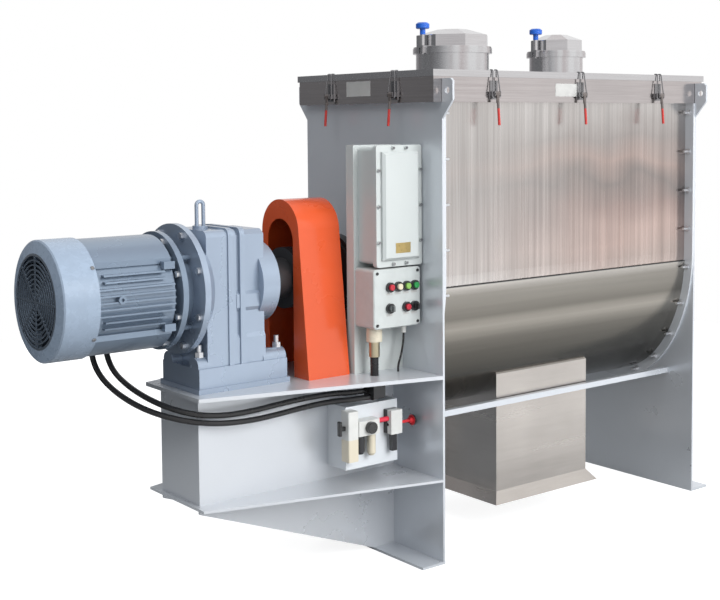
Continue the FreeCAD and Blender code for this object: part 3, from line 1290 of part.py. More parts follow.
def air_units():
    """Shut-off valve, filter-regulator with its bowls, and the push-pull valve block."""
    back = -AIR_Y
    front = back - AIR_UNIT_DEPTH
    mid = 0.5 * (back + front)
    solids = []
    inlet = box(-AIR_LEFT - 19.0, REG_LEFT, front + 2.0, back, 361.0, 523.0)
    solids.append(inlet.makeFillet(4.0, along(inlet, V(0, 0, 1))))
    regulator = box(REG_LEFT, REG_RIGHT, front, back, REG_Z - 26.0, REG_Z + 22.0)
    solids.append(regulator.makeFillet(5.0, along(regulator, V(0, 0, 1))))
    for x, radius, low in ((REG_LEFT + 19.0, 16.0, 378.0), (REG_RIGHT - 20.0, 14.0, 367.0)):
        top = REG_Z - 26.0
        bowl = [(top, 0.0), (top, radius), (low + 8.0, radius), (low, radius - 5.0), (low, 0.0)]
        solids.append(turned(bowl, False, (x, mid, 0.0)))
    valve = box(VALVE_LEFT, VALVE_RIGHT, front + 4.0, back, 424.0, 503.0)
    ends = ((VALVE_LEFT - 1.0, mid, PLUNGER_Z), (VALVE_RIGHT + 1.0, mid, PLUNGER_Z))
    valve = valve.cut(rod(SPOOL_R + RUN_FIT, *ends))
    solids.append(valve)
    solids.append(rod(8.0, (REG_RIGHT, mid, PLUNGER_Z + 20.0), (VALVE_LEFT, mid, PLUNGER_Z + 20.0)))
    solids.append(box(VALVE_LEFT + 12.0, VALVE_RIGHT - 14.0, mid - 8.0, mid + 8.0, 367.0, 424.0))
    return group(solids)


def regulator_knob():
    """Round pressure knob on the regulator's front."""
    front = -AIR_Y - AIR_UNIT_DEPTH
    z = REG_Z
    profile_r = 19.0
    skirt = rod(profile_r, (-REG_X, front - 1.0, z), (-REG_X, front - 18.0, z))
    skirt = skirt.makeChamfer(2.0, [e for e in skirt.Edges if e.BoundBox.YMax < front - 17.0])
    return fuse([skirt, rod(7.0, (-REG_X, front - CLEAR, z), (-REG_X, front - 2.0, z))])


def valve_plunger():
    """Push-pull spool with its red collar and round end button, sliding along X."""
    mid = -AIR_Y - 0.5 * AIR_UNIT_DEPTH
    z = PLUNGER_Z
    spool = rod(SPOOL_R, (VALVE_LEFT + 9.0, mid, z), (-18.0, mid, z))
    collar = rod(9.0, (-30.0, mid, z), (-18.0, mid, z))
    button = rod(18.0, (-18.0, mid, z), (-12.0, mid, z))
    return fuse([spool, collar, button])


def main():
    os.makedirs("parts", exist_ok=True)
    save("drive_leg_plate", leg_plate(0.0, -FOOT_WIDTH))
    save("far_leg_plate", leg_plate(BED_LENGTH, FAR_OUT))
    save("tie_rails", tie_rails())
    save("pedestal_frame", group([pedestal_frame(), bearing_stand()]))
    platform = deck(PLATFORM_LENGTH, PLATFORM_END_HALF, PLATFORM_TOP, PLATFORM_T)
    hole_r = CONDUIT_R + 4.0
    conduit_hole = rod(
        hole_r, (-GLAND_X, -GLAND_Y, PLATFORM_TOP - 40.0), (-GLAND_X, -GLAND_Y, PLATFORM_TOP + 1.0))
    save("platform_plate", platform.cut(conduit_hole))
    save("pedestal_shelf", deck(SHELF_LENGTH, shelf_end_half(), SHELF_TOP, SHELF_T))
    save("trough_shell", trough_shell())
    save("assembly_bolts", flange_bolts())
    save("rim_band", rim_band())
    save("lid_gasket", lid_gasket())
    save("lid", lid())
    for (x, radius), size in zip(hatches(), ("large", "small")):
        save("hatch_cover_" + size, hatch_cover(x, radius))
        save("hatch_knob_" + size, hatch_knob(x, radius))
    bases = []
    bails = []
    counts = {}
    for side, turn, x, y in clamp_frames():
        counts[side] = counts.get(side, 0) + 1
        bases.append(placed(clamp_base(), turn, x, y))
        bails.append(placed(clamp_bail(), turn, x, y))
        save("clamp_lever_" + side + "_" + str(counts[side]), placed(clamp_lever(), turn, x, y))
    save("clamp_bases", group(bases))
    save("clamp_bails", group(bails))
    save("discharge_chute", discharge_chute())
    save("flap_actuator", flap_actuator())
    save("discharge_flap", discharge_flap())
    save("gearbox_housing", group([gearbox_housing(), lifting_eye()]))
    save("motor_body", group([motor_body(), terminal_box()]))
    save("fan_cowl", fan_cowl())
    save("motor_rotor", motor_rotor())
    save("coupling_guard", coupling_guard())
    save("shaft_bearings", shaft_bearings())
    save("shaft_coupling", shaft_coupling())
    save("agitator_shaft", agitator_shaft())
    save("ribbon_spokes", group(spokes(RIBBON_R - 0.5 * RIBBON_WIDTH)))
    save("outer_ribbons", ribbons(RIBBON_R, RIBBON_WIDTH, 1))
    save("inner_ribbons", ribbons(INNER_R, INNER_WIDTH, -1))
    save("control_panel", control_panel())
    save("isolator_box", isolator_box())
    save("button_box", button_box())
    for name, x, z, kind in button_places():
        save(name, control(x, z, kind))
    save("cable_fittings", cable_fittings())
    save("motor_cable_a", cable("motor_cable_a", MOTOR_CABLE_A, CABLE_R))
    save("motor_cable_b", cable("motor_cable_b", MOTOR_CABLE_B, CABLE_R))
    save("control_conduit", cable("control_conduit", CONTROL_CONDUIT, CONDUIT_R))
    save("sensor_cable", cable("sensor_cable", SENSOR_CABLE, THIN_R))
    save("air_bracket", air_bracket())
    save("air_units", air_units())
    save("regulator_knob", regulator_knob())
    save("valve_plunger", valve_plunger())


main()
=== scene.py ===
# %% [markdown]
# A horizontal ribbon mixer: a stainless trough on two painted plate legs, with its geared motor on
# a pedestal at one end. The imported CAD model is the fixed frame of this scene. Everything below
# adds finishes, cables and small details to it, and moves none of it. Lengths are in metres, and most
# places along the machine are counted from the outer face of the drive-end leg plate, DRIVE_FACE.

# %% Load the frame
import math
import bmesh
import bpy
from mathutils import Matrix, Vector


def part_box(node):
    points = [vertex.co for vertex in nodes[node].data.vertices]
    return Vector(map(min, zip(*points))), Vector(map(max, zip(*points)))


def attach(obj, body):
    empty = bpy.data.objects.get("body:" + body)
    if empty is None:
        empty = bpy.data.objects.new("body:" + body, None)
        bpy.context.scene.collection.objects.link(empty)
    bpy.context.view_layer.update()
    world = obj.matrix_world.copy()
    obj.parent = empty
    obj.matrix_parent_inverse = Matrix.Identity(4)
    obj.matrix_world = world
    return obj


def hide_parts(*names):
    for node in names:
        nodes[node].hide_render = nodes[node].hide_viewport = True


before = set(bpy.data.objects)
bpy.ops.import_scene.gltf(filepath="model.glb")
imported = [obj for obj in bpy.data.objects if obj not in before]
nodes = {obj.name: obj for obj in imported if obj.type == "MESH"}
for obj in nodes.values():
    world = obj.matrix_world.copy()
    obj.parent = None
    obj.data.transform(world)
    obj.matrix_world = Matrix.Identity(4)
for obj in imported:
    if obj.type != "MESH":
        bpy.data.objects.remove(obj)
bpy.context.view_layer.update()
LEG_PLATE_T = 0.008
DRIVE_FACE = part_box("drive_leg_plate")[1].x - LEG_PLATE_T
AXIS_HEIGHT = 0.936

# %% [markdown]
# The camera stands at eye height, a little to the motor's side of the machine, and looks down a few
# degrees. Its lens and shift give the photograph's perspective. Working from three unit vectors
# (right, up and forward) is clearer than guessing Euler angles.

# %% Camera
YAW = 0.66209
PITCH = 0.06591
ROLL = -0.0074
FOCAL_PX = 1252.5
IMAGE_W = 720.0
IMAGE_H = 600.0
CENTRE_PX = (365.9, 205.0)
EYE = Vector((-2.7309, -3.3736, 1.440))

level_forward = Vector((math.sin(YAW), math.cos(YAW), 0.0))
forward = level_forward * math.cos(PITCH) + Vector((0.0, 0.0, -math.sin(PITCH)))
level_right = Vector((math.cos(YAW), -math.sin(YAW), 0.0))
level_up = level_right.cross(forward)
right = level_right * math.cos(ROLL) + level_up * math.sin(ROLL)
up = level_up * math.cos(ROLL) - level_right * math.sin(ROLL)
camera_data = bpy.data.cameras.new("eye_height_camera")
camera_data.sensor_width = 36.0
camera_data.lens = 36.0 * FOCAL_PX / IMAGE_W
camera_data.shift_x = (0.5 * IMAGE_W - CENTRE_PX[0]) / IMAGE_W
camera_data.shift_y = (CENTRE_PX[1] - 0.5 * IMAGE_H) / IMAGE_W
camera_data.clip_end = 60.0
camera = bpy.data.objects.new("eye_height_camera", camera_data)
bpy.context.scene.collection.objects.link(camera)
turn = Matrix((right, up, -forward)).transposed()
camera.matrix_world = Matrix.Translation(EYE) @ turn.to_4x4()
bpy.context.scene.camera = camera
shift = (round(camera_data.shift_x, 3), round(camera_data.shift_y, 3))
print("lens", round(camera_data.lens, 1), "shift", shift)

# %% [markdown]
# Small helpers. A new piece is always built in the frame's own metres, so its object stays at the
# origin. `piece` links a mesh, gives it a finish and lets it ride on a body of the CAD model.

# %% Helpers for pieces
MERGE_DISTANCE = 1e-6


def piece(name, mesh, body, material, smooth=True):
    """Link a mesh as a piece that rides on a body."""
    obj = bpy.data.objects.new(name, mesh)
    bpy.context.scene.collection.objects.link(obj)
    mesh.materials.clear()
    mesh.materials.append(material)
    if smooth:
        mesh.shade_smooth()
    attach(obj, body)
    return obj


def mesh_from(bm, name):
    """Finish a bmesh: merge doubles, turn faces outwards, and make it a mesh."""
    bmesh.ops.remove_doubles(bm, verts=bm.verts, dist=MERGE_DISTANCE)
    bmesh.ops.recalc_face_normals(bm, faces=bm.faces)
    mesh = bpy.data.meshes.new(name)
    bm.to_mesh(mesh)
    bm.free()
    return mesh


print("helpers for pieces ready")

# %% [markdown]
# Two forms cover most small fittings: a block with rounded edges, and a turned form, which is an
# outline spun round an axis as a lathe makes it. Both are added to an open bmesh, so several of them
# can end up in one piece.

# %% Blocks and turned forms
POLE_RADIUS = 1e-7


def add_block(bm, low, high, bevel=0.0):
    """Add a box between two corners, its edges rounded by the bevel."""
    made = bmesh.ops.create_cube(bm, size=1.0)
    size = Vector(high) - Vector(low)
    middle = (Vector(high) + Vector(low)) * 0.5
    bmesh.ops.scale(bm, vec=size, verts=made["verts"])
    bmesh.ops.translate(bm, vec=middle, verts=made["verts"])
    if bevel > 0.0:
        edges = list({edge for vert in made["verts"] for edge in vert.link_edges})
        bmesh.ops.bevel(bm, geom=edges, offset=bevel, segments=2, affect="EDGES", profile=0.5)


def add_turned(bm, profile, start, axis, steps=32):
    """Add a turned solid from (along, radius) pairs that begin and end at radius 0."""
    axis = Vector(axis).normalized()
    side = axis.orthogonal().normalized()
    other = axis.cross(side)
    rings = []
    for along, radius in profile:
        centre = Vector(start) + axis * along
        if radius < POLE_RADIUS:
            rings.append([bm.verts.new(centre)])
            continue
        ring = []
        for i in range(steps):
            angle = 2.0 * math.pi * i / steps
            outward = side * math.cos(angle) + other * math.sin(angle)
            ring.append(bm.verts.new(centre + outward * radius))
        rings.append(ring)
    for a, b in zip(rings, rings[1:]):
        for i in range(steps):
            j = (i + 1) % steps
            corners = [a[i % len(a)], a[j % len(a)], b[j % len(b)], b[i % len(b)]]
            face = []
            for vert in corners:
                if vert not in face:
                    face.append(vert)
            if len(face) > 2:
                bm.faces.new(face)


print("blocks and turned forms ready")

# %% [markdown]
# Finishes. Each is a small node tree round one Principled shader. Fixed values such as metallic or
# coat go straight on the shader's sockets; only what varies over the surface is linked, and it reads
# Object coordinates, so the pattern stays put on the piece.

# %% A fresh finish
def new_finish(name):
    """A fresh material with its shader and Object coordinates."""
    material = bpy.data.materials.new(name)
    material.use_nodes = True
    tree = material.node_tree
    shader = tree.nodes["Principled BSDF"]
    coords = tree.nodes.new("ShaderNodeTexCoord").outputs["Object"]
    return material, tree, shader, coords


def mapped(tree, coords, scale):
    """Object coordinates stretched by a scale for each axis."""
    mapping = tree.nodes.new("ShaderNodeMapping")
    mapping.inputs["Scale"].default_value = scale
    tree.links.new(coords, mapping.inputs["Vector"])
    return mapping.outputs["Vector"]


def noise_value(tree, vector, scale, detail=4.0, rough=0.55):
    """Soft random values between 0 and 1."""
    node = tree.nodes.new("ShaderNodeTexNoise")
    node.inputs["Scale"].default_value = scale
    node.inputs["Detail"].default_value = detail
    node.inputs["Roughness"].default_value = rough
    tree.links.new(vector, node.inputs["Vector"])
    return node.outputs["Fac"]


print("fresh finishes ready")

# %% [markdown]
# Noise alone is a grey cloud. A range turns it into a gloss, a ramp turns it into a colour, and a bump
# lets it catch the light. Most finishes below are made of these three.

# %% Ranges, ramps and bump
def spread(tree, value, low, high, start=0.3, stop=0.7):
    """Map a value that lies between start and stop onto low to high."""
    node = tree.nodes.new("ShaderNodeMapRange")
    node.inputs["From Min"].default_value = start
    node.inputs["From Max"].default_value = stop
    node.inputs["To Min"].default_value = low
    node.inputs["To Max"].default_value = high
    tree.links.new(value, node.inputs["Value"])
    return node.outputs["Result"]


def ramp(tree, value, stops):
    """Colour from a value, through (position, colour) stops."""
    node = tree.nodes.new("ShaderNodeValToRGB")
    while len(node.color_ramp.elements) < len(stops):
        node.color_ramp.elements.new(0.5)
    for element, (position, colour) in zip(node.color_ramp.elements, stops):
        element.position = position
        element.color = (colour[0], colour[1], colour[2], 1.0)
    tree.links.new(value, node.inputs["Fac"])
    return node.outputs["Color"]


def bump(tree, shader, height, strength, distance):
    """Let a height value shade the surface."""
    node = tree.nodes.new("ShaderNodeBump")
    node.inputs["Strength"].default_value = strength
    node.inputs["Distance"].default_value = distance
    tree.links.new(height, node.inputs["Height"])
    tree.links.new(node.outputs["Normal"], shader.inputs["Normal"])


def scaled(colour, factor):
    """A colour made lighter or darker."""
    return tuple(min(1.0, channel * factor) for channel in colour)


print("ranges, ramps and bump ready")

# %% [markdown]
# Machine paint is nearly even in colour. What makes it read as paint is the faint orange peel in its
# gloss, soft handling marks, and a clear coat over the colour.

# %% Painted metal
def paint(name, colour, roughness=0.35, coat=0.25, peel=0.08, mottling=0.06, metallic=0.0):
    """Sprayed paint with a fine orange peel and soft patches."""
    material, tree, shader, coords = new_finish(name)
    patches = noise_value(tree, coords, 3.0, 5.0)
    grain = noise_value(tree, coords, 260.0, 2.0)
    darker, lighter = scaled(colour, 1.0 - mottling), scaled(colour, 1.0 + mottling)
    shade = ramp(tree, patches, [(0.3, darker), (0.7, lighter)])
    tree.links.new(shade, shader.inputs["Base Color"])
    gloss = spread(tree, patches, roughness - 0.06, roughness + 0.08)
    tree.links.new(gloss, shader.inputs["Roughness"])
    shader.inputs["Metallic"].default_value = metallic
    shader.inputs["Coat Weight"].default_value = coat
    shader.inputs["Coat Roughness"].default_value = 0.12
    bump(tree, shader, grain, peel, 0.0006)
    return material


frame_paint = paint("silver_grey_paint", (0.58, 0.61, 0.65), 0.32, 0.2, 0.02, 0.03, 0.45)
platform_paint = paint("pedestal_paint", (0.60, 0.625, 0.66), 0.30, 0.2, 0.02, 0.03, 0.45)
gearbox_paint = paint("gearbox_paint", (0.32, 0.385, 0.48), 0.25, 0.4, 0.04, 0.04, 0.5)
motor_paint = paint("motor_paint", (0.19, 0.245, 0.32), 0.25, 0.4, 0.04, 0.04, 0.45)
fan_paint = paint("fan_paint", (0.03, 0.038, 0.05), 0.40, 0.1, 0.05, 0.05)
guard_paint = paint("guard_paint", (0.58, 0.075, 0.015), 0.24, 0.6, 0.03, 0.04)
enclosure_paint = paint("enclosure_paint", (0.47, 0.50, 0.495), 0.40, 0.2, 0.04, 0.03)
white_paint = paint("white_bracket_paint", (0.60, 0.63, 0.66), 0.36, 0.25, 0.03, 0.03)
black_iron = paint("black_iron_paint", (0.022, 0.022, 0.024), 0.40, 0.2, 0.10, 0.10)
print("paints made")

# %% [markdown]
# Steel needs two patterns at once, so one colour is laid over another. A mask of 1 covers fully, and
# the blend mode Multiply darkens the colour below, as a stain does.

# %% Layers of colour
def overlay(tree, below, mask, above, blend="MIX"):
    """Lay a colour, or a colour socket, over another where the mask, a socket or a number, is 1."""
    node = tree.nodes.new("ShaderNodeMix")
    node.data_type = "RGBA"
    node.blend_type = blend
    if isinstance(mask, float):
        node.inputs["Factor"].default_value = mask
    else:
        tree.links.new(mask, node.inputs["Factor"])
    tree.links.new(below, node.inputs["A"])
    if isinstance(above, tuple):
        node.inputs["B"].default_value = (above[0], above[1], above[2], 1.0)
    else:
        tree.links.new(above, node.inputs["B"])
    return node.outputs["Result"]


print("layers of colour ready")

# %% [markdown]
# Brushed stainless steel: long fine scratches run one way, so the noise is squeezed across them and
# stretched along them. They vary the tone, the gloss and, very slightly, the surface.

# %% Brushed steel
def brushed(name, colour, roughness, stretch, contrast=0.12, strength=0.05, cloud=0.08):
    """Steel with scratches along the axis whose stretch is small."""
    material, tree, shader, coords = new_finish(name)
    lines = noise_value(tree, mapped(tree, coords, stretch), 1.0, 6.0, 0.65)
    clouds = noise_value(tree, coords, 2.2, 3.0)
    darker, lighter = scaled(colour, 1.0 - contrast), scaled(colour, 1.0 + contrast)
    tone = ramp(tree, lines, [(0.25, darker), (0.75, lighter)])
    wash = ramp(tree, clouds, [(0.3, (1.0 - cloud,) * 3), (0.7, (1.0, 1.0, 1.0))])
    tree.links.new(overlay(tree, tone, 1.0, wash, "MULTIPLY"), shader.inputs["Base Color"])
    gloss = spread(tree, lines, roughness - 0.05, roughness + 0.10)
    tree.links.new(gloss, shader.inputs["Roughness"])
    shader.inputs["Metallic"].default_value = 1.0
    bump(tree, shader, lines, strength, 0.0004)
    return material


lid_steel = brushed("lid_steel", (0.68, 0.68, 0.69), 0.20, (3.0, 260.0, 260.0), 0.06, 0.012, 0.03)
band_steel = brushed("band_steel", (0.62, 0.585, 0.58), 0.16, (4.0, 4.0, 260.0), 0.10, 0.012, 0.12)
bright_steel = brushed("bright_steel", (0.72, 0.72, 0.73), 0.13, (8.0, 8.0, 300.0), 0.07, 0.01,
                       0.03)
bolt_steel = brushed("bolt_steel", (0.82, 0.83, 0.85), 0.36, (160.0, 160.0, 160.0), 0.08, 0.01)
clamp_steel = brushed("clamp_steel", (0.34, 0.34, 0.35), 0.24, (120.0, 120.0, 120.0), 0.10, 0.01)
shaft_steel = brushed("shaft_steel", (0.50, 0.50, 0.51), 0.22, (200.0, 6.0, 6.0), 0.10, 0.01)
chute_steel = brushed("chute_steel", (0.60, 0.56, 0.525), 0.20, (1.4, 1.4, 22.0), 0.10, 0.0, 0.20)
brass_metal = brushed("brass_metal", (0.62, 0.47, 0.20), 0.30, (90.0, 90.0, 60.0), 0.12)
print("brushed steels made")

# %% [markdown]
# Where one CAD node carries several finishes, a mask tells them apart. Object coordinates are metres
# in the machine's own frame, so a mask is no more than a pair of limits on X, Y or Z.

# %% Masks by place
def axes(tree, coords):
    """The X, Y and Z of Object coordinates, in metres."""
    node = tree.nodes.new("ShaderNodeSeparateXYZ")
    tree.links.new(coords, node.inputs["Vector"])
    return node.outputs


def arithmetic(tree, operation, *operands):
    """A Math node on sockets or plain numbers."""
    node = tree.nodes.new("ShaderNodeMath")
    node.operation = operation
    for socket, operand in zip(node.inputs, operands):
        if isinstance(operand, float):
            socket.default_value = operand
        else:
            tree.links.new(operand, socket)
    return node.outputs["Value"]


def between(tree, value, low, high):
    """1 where a value lies between two limits, and 0 elsewhere."""
    return arithmetic(tree, "COMPARE", value, 0.5 * (low + high), 0.5 * (high - low))


print("masks ready")

# %% [markdown]
# The trough wall has two grains. The flat sides are ground up and down: they show tall streaks, and
# over them soft warm and dark bands of painted reflection, stronger towards the far end. The cladding
# round the bottom is smoother, with painted shade at its foot and one painted highlight band. Its edge
# divides the two. The bolting flanges at both ends are painted like the legs, so a mask on the distance
# from the trough's middle gives them that paint in the same material.

# %% Trough wall
CLADDING_EDGE = 0.900
CLADDING_FOOT = 0.437
WALL_TOP = 1.503
TROUGH_MIDDLE = 0.5 * (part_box("trough_shell")[0].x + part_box("trough_shell")[1].x)
FLANGE_COVER = 0.0085
FLANGE_INSIDE = 0.5 * (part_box("trough_shell")[1].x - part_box("trough_shell")[0].x) - FLANGE_COVER
SEAM_BELOW, SEAM_ABOVE = 0.0025, 0.0015
BAND_DRIFT = 0.14


def trough_finish():
    """Upright streaks above the cladding, a smooth sheet below it, and painted end flanges."""
    material, tree, shader, coords = new_finish("trough_wall_steel")
    fine = noise_value(tree, mapped(tree, coords, (70.0, 70.0, 0.8)), 1.0, 7.0, 0.66)
    tall = noise_value(tree, mapped(tree, coords, (13.0, 13.0, 0.5)), 1.0, 4.0, 0.6)
    patches = noise_value(tree, mapped(tree, coords, (1.5, 1.5, 3.4)), 1.0, 2.0, 0.5)
    along = noise_value(tree, mapped(tree, coords, (1.0, 60.0, 60.0)), 1.0, 5.0, 0.55)
    place = axes(tree, coords)
    streaks = ramp(tree, fine, [(0.34, (0.59, 0.575, 0.56)), (0.66, (0.79, 0.77, 0.75))])
    wash = ramp(tree, tall, [(0.36, (0.84, 0.83, 0.825)), (0.62, (1.0, 1.0, 1.0))])
    height = spread(tree, place["Z"], 0.0, 1.0, CLADDING_EDGE, WALL_TOP)
    drifting = arithmetic(tree, "ADD", height, spread(tree, patches, -BAND_DRIFT, BAND_DRIFT))
    # Painted reflection: pale, warm and dark bands by height, drifting a little, stronger towards the
    # far end.
    painted_reflection_bands = ramp(tree, drifting, [
        (0.0, (0.86, 0.74, 0.70)), (0.18, (0.96, 0.78, 0.73)), (0.34, (0.74, 0.61, 0.58)),
        (0.48, (0.56, 0.52, 0.51)), (0.60, (0.84, 0.71, 0.67)), (0.76, (0.74, 0.71, 0.70)),
        (1.0, (1.0, 1.0, 1.0))])
    far_side = spread(tree, place["X"], 0.2, 1.0, TROUGH_MIDDLE - 0.5, TROUGH_MIDDLE + 0.2)
    upper = overlay(tree, streaks, 1.0, wash, "MULTIPLY")
    upper = overlay(tree, upper, far_side, painted_reflection_bands, "MULTIPLY")
    # Painted shade and highlight on the cladding: dark at its foot, one lighter band, pale at its edge.
    rise = spread(tree, place["Z"], 0.0, 1.0, CLADDING_FOOT, CLADDING_EDGE)
    shade = ramp(tree, rise, [
        (0.0, (0.09, 0.085, 0.075)), (0.40, (0.17, 0.16, 0.14)), (0.56, (0.22, 0.205, 0.18)),
        (0.68, (0.42, 0.39, 0.345)), (0.76, (0.22, 0.205, 0.18)), (0.93, (0.32, 0.30, 0.27)),
        (1.0, (0.60, 0.57, 0.53))])
    grained = ramp(tree, along, [(0.3, (0.90, 0.90, 0.90)), (0.7, (1.0, 1.0, 1.0))])
    cladding_painted_light = overlay(tree, shade, 1.0, grained, "MULTIPLY")
    low = between(tree, place["Z"], 0.0, CLADDING_EDGE)
    steel = overlay(tree, upper, low, cladding_painted_light)
    edge = between(tree, place["Z"], CLADDING_EDGE - SEAM_BELOW, CLADDING_EDGE + SEAM_ABOVE)
    steel = overlay(tree, steel, edge, (0.12, 0.12, 0.12))
    centred = arithmetic(tree, "SUBTRACT", place["X"], TROUGH_MIDDLE)
    plain = between(tree, centred, -FLANGE_INSIDE, FLANGE_INSIDE)
    painted = arithmetic(tree, "SUBTRACT", 1.0, plain)
    colour = overlay(tree, steel, painted, (0.60, 0.63, 0.67))
    tree.links.new(colour, shader.inputs["Base Color"])
    tree.links.new(spread(tree, plain, 0.35, 1.0, 0.0, 1.0), shader.inputs["Metallic"])
    gloss = overlay(tree, spread(tree, fine, 0.19, 0.30), low, (0.20, 0.20, 0.20))
    tree.links.new(gloss, shader.inputs["Roughness"])
    bump(tree, shader, overlay(tree, fine, low, (0.5, 0.5, 0.5)), 0.02, 0.0003)
    return material


trough_steel = trough_finish()
print("trough wall steel made")

# %% [markdown]
# Rubber and plastics. Cable jackets are smooth and dark with a soft sheen. Moulded knobs and buttons
# are glossier, with a faint unevenness so that their highlights are not perfect.

# %% Plastics and rubber
def moulded(name, colour, roughness=0.3, coat=0.2, grain=120.0, strength=0.04):
    """Moulded plastic or rubber."""
    material, tree, shader, coords = new_finish(name)
    patches = noise_value(tree, coords, grain * 0.2, 3.0)
    fine = noise_value(tree, coords, grain * 4.0, 2.0)
    shade = ramp(tree, patches, [(0.3, scaled(colour, 0.9)), (0.7, scaled(colour, 1.08))])
    tree.links.new(shade, shader.inputs["Base Color"])
    gloss = spread(tree, patches, roughness - 0.05, roughness + 0.08)
    tree.links.new(gloss, shader.inputs["Roughness"])
    shader.inputs["Coat Weight"].default_value = coat
    bump(tree, shader, fine, strength, 0.0003)
    return material


jacket = moulded("cable_jacket", (0.012, 0.012, 0.013), 0.26, 0.15, 60.0)
gasket_rubber = moulded("grey_gasket", (0.16, 0.16, 0.16), 0.6, 0.0, 90.0)
red_plastic = moulded("red_plastic", (0.42, 0.015, 0.03), 0.28, 0.3)
green_plastic = moulded("green_plastic", (0.02, 0.24, 0.06), 0.28, 0.3)
lime_plastic = moulded("lime_plastic", (0.20, 0.40, 0.08), 0.28, 0.3)
cream_plastic = moulded("cream_plastic", (0.62, 0.56, 0.42), 0.35, 0.2)
grey_plastic = moulded("grey_plastic", (0.10, 0.11, 0.11), 0.35, 0.2)
black_plastic = moulded("black_plastic", (0.015, 0.015, 0.016), 0.28, 0.35)
label_stock = moulded("bare_label_stock", (0.42, 0.42, 0.41), 0.45, 0.1)
print("plastics made")

# %% [markdown]
# Some castings carry parts of another colour in the same CAD node: black collars and screws on the
# button box, a cream gland over a nickel sleeve, the black, cream and white bodies of the air units,
# a dark grille in the fan cowl, the red dipped ends of the levers and the steel studs of the knobs.
# Masks on Object coordinates pick those zones out, since each zone is a box in space.

# %% Two-tone bodies
def zone(tree, place, x=None, y=None, z=None):
    """A mask for a box in space, whose x is counted from the drive plate's face."""
    mask = None
    for axis, limits, shift in (("X", x, DRIVE_FACE), ("Y", y, 0.0), ("Z", z, 0.0)):
        if limits is None:
            continue
        part = between(tree, place[axis], limits[0] + shift, limits[1] + shift)
        mask = part if mask is None else arithmetic(tree, "MULTIPLY", mask, part)
    return mask


def two_tone(name, colour, zones, roughness=0.34, metal=None):
    """Moulded or painted body with zones of other colours."""
    material, tree, shader, coords = new_finish(name)
    place = axes(tree, coords)
    patches = noise_value(tree, coords, 30.0, 3.0)
    grain = noise_value(tree, coords, 420.0, 2.0)
    shade = ramp(tree, patches, [(0.3, scaled(colour, 0.95)), (0.7, scaled(colour, 1.04))])
    for tone, limits in zones:
        shade = overlay(tree, shade, zone(tree, place, **limits), tone)
    tree.links.new(shade, shader.inputs["Base Color"])
    if metal:
        tree.links.new(zone(tree, place, **metal), shader.inputs["Metallic"])
    gloss = spread(tree, patches, roughness - 0.05, roughness + 0.07)
    tree.links.new(gloss, shader.inputs["Roughness"])
    shader.inputs["Coat Weight"].default_value = 0.2
    bump(tree, shader, grain, 0.05, 0.0004)
    return material


print("two-tone helper ready")

# %% [markdown]
# The boxes, the glands, the air units, the fan cowl and the valve's plunger. Each zone is one or two
# pairs of limits, in metres, and matches a collar, a sleeve, a bowl or a grille of the CAD node.

# %% Boxes, glands, air units and cowl
BLACK = (0.016, 0.016, 0.018)
CREAM = (0.58, 0.53, 0.42)
WHITE = (0.58, 0.585, 0.57)
button_box_paint = two_tone("button_box_paint", (0.47, 0.50, 0.495), [
    (BLACK, {"y": (-0.30, -0.2685)})])
gland_metal = two_tone("gland_finish", CREAM, [
    ((0.50, 0.44, 0.30), {"z": (0.60, 0.732)}), (BLACK, {"z": (0.40, 0.600)}),
    ((0.66, 0.66, 0.64), {"x": (-0.05, 0.0), "z": (0.70, 0.80)}), (BLACK, {"x": (-1.2, -0.5)}),
], 0.30, {"x": (-0.19, -0.12), "z": (0.60, 0.732)})
air_finish = two_tone("air_unit_finish", WHITE, [
    (CREAM, {"x": (-0.30, -0.253), "z": (0.35, 0.432)}),
    (BLACK, {"x": (-0.253, -0.215), "z": (0.35, 0.4385)}),
    (CREAM, {"x": (-0.215, -0.165), "z": (0.35, 0.4385)}),
    ((0.60, 0.03, 0.06), {"x": (-0.1675, -0.1195), "z": (0.46, 0.49)}),
    (BLACK, {"x": (-0.1195, -0.070), "y": (-0.232, -0.20)}),
    (BLACK, {"x": (-0.1195, -0.070), "z": (0.35, 0.4238)}),
])
cowl_paint = two_tone("cowl_paint", (0.255, 0.32, 0.41), [
    ((0.075, 0.092, 0.115), {"x": (-1.230, -1.2165)})], 0.26)
plunger_finish = two_tone("plunger_finish", (0.60, 0.03, 0.04), [(BLACK, {"x": (-0.0178, -0.005)})])
print("boxes, glands, air units and cowl finished")

# %% [markdown]
# The levers are dipped in red up to half their height, and the knobs are blue mouldings on steel
# studs. Those limits start from the nodes' own boxes, so they follow the CAD model.

# %% Levers and knobs
ZONE_MARGIN = 0.01
LEVER_LOW, LEVER_TOP = (corner.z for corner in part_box("clamp_lever_front_1"))
DIPPED_END = {"z": (LEVER_LOW - ZONE_MARGIN, 0.5 * (LEVER_LOW + LEVER_TOP))}
lever_finish = two_tone("lever_finish", (0.10, 0.085, 0.08), [
    ((0.42, 0.025, 0.02), DIPPED_END)], 0.30)
KNOB_BODY = 0.0425
KNOB_LOW, KNOB_TOP = (corner.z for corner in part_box("hatch_knob_large"))
STUD_ZONE = {"z": (KNOB_LOW - ZONE_MARGIN, KNOB_TOP - KNOB_BODY)}
knob_finish = two_tone("knob_finish", (0.01, 0.10, 0.48), [((0.62, 0.62, 0.63), STUD_ZONE)],
                       0.28, STUD_ZONE)
print("levers and knobs finished")

# %% [markdown]
# Now each CAD node gets its finish. The meshes stay as they are; only their material slots change.

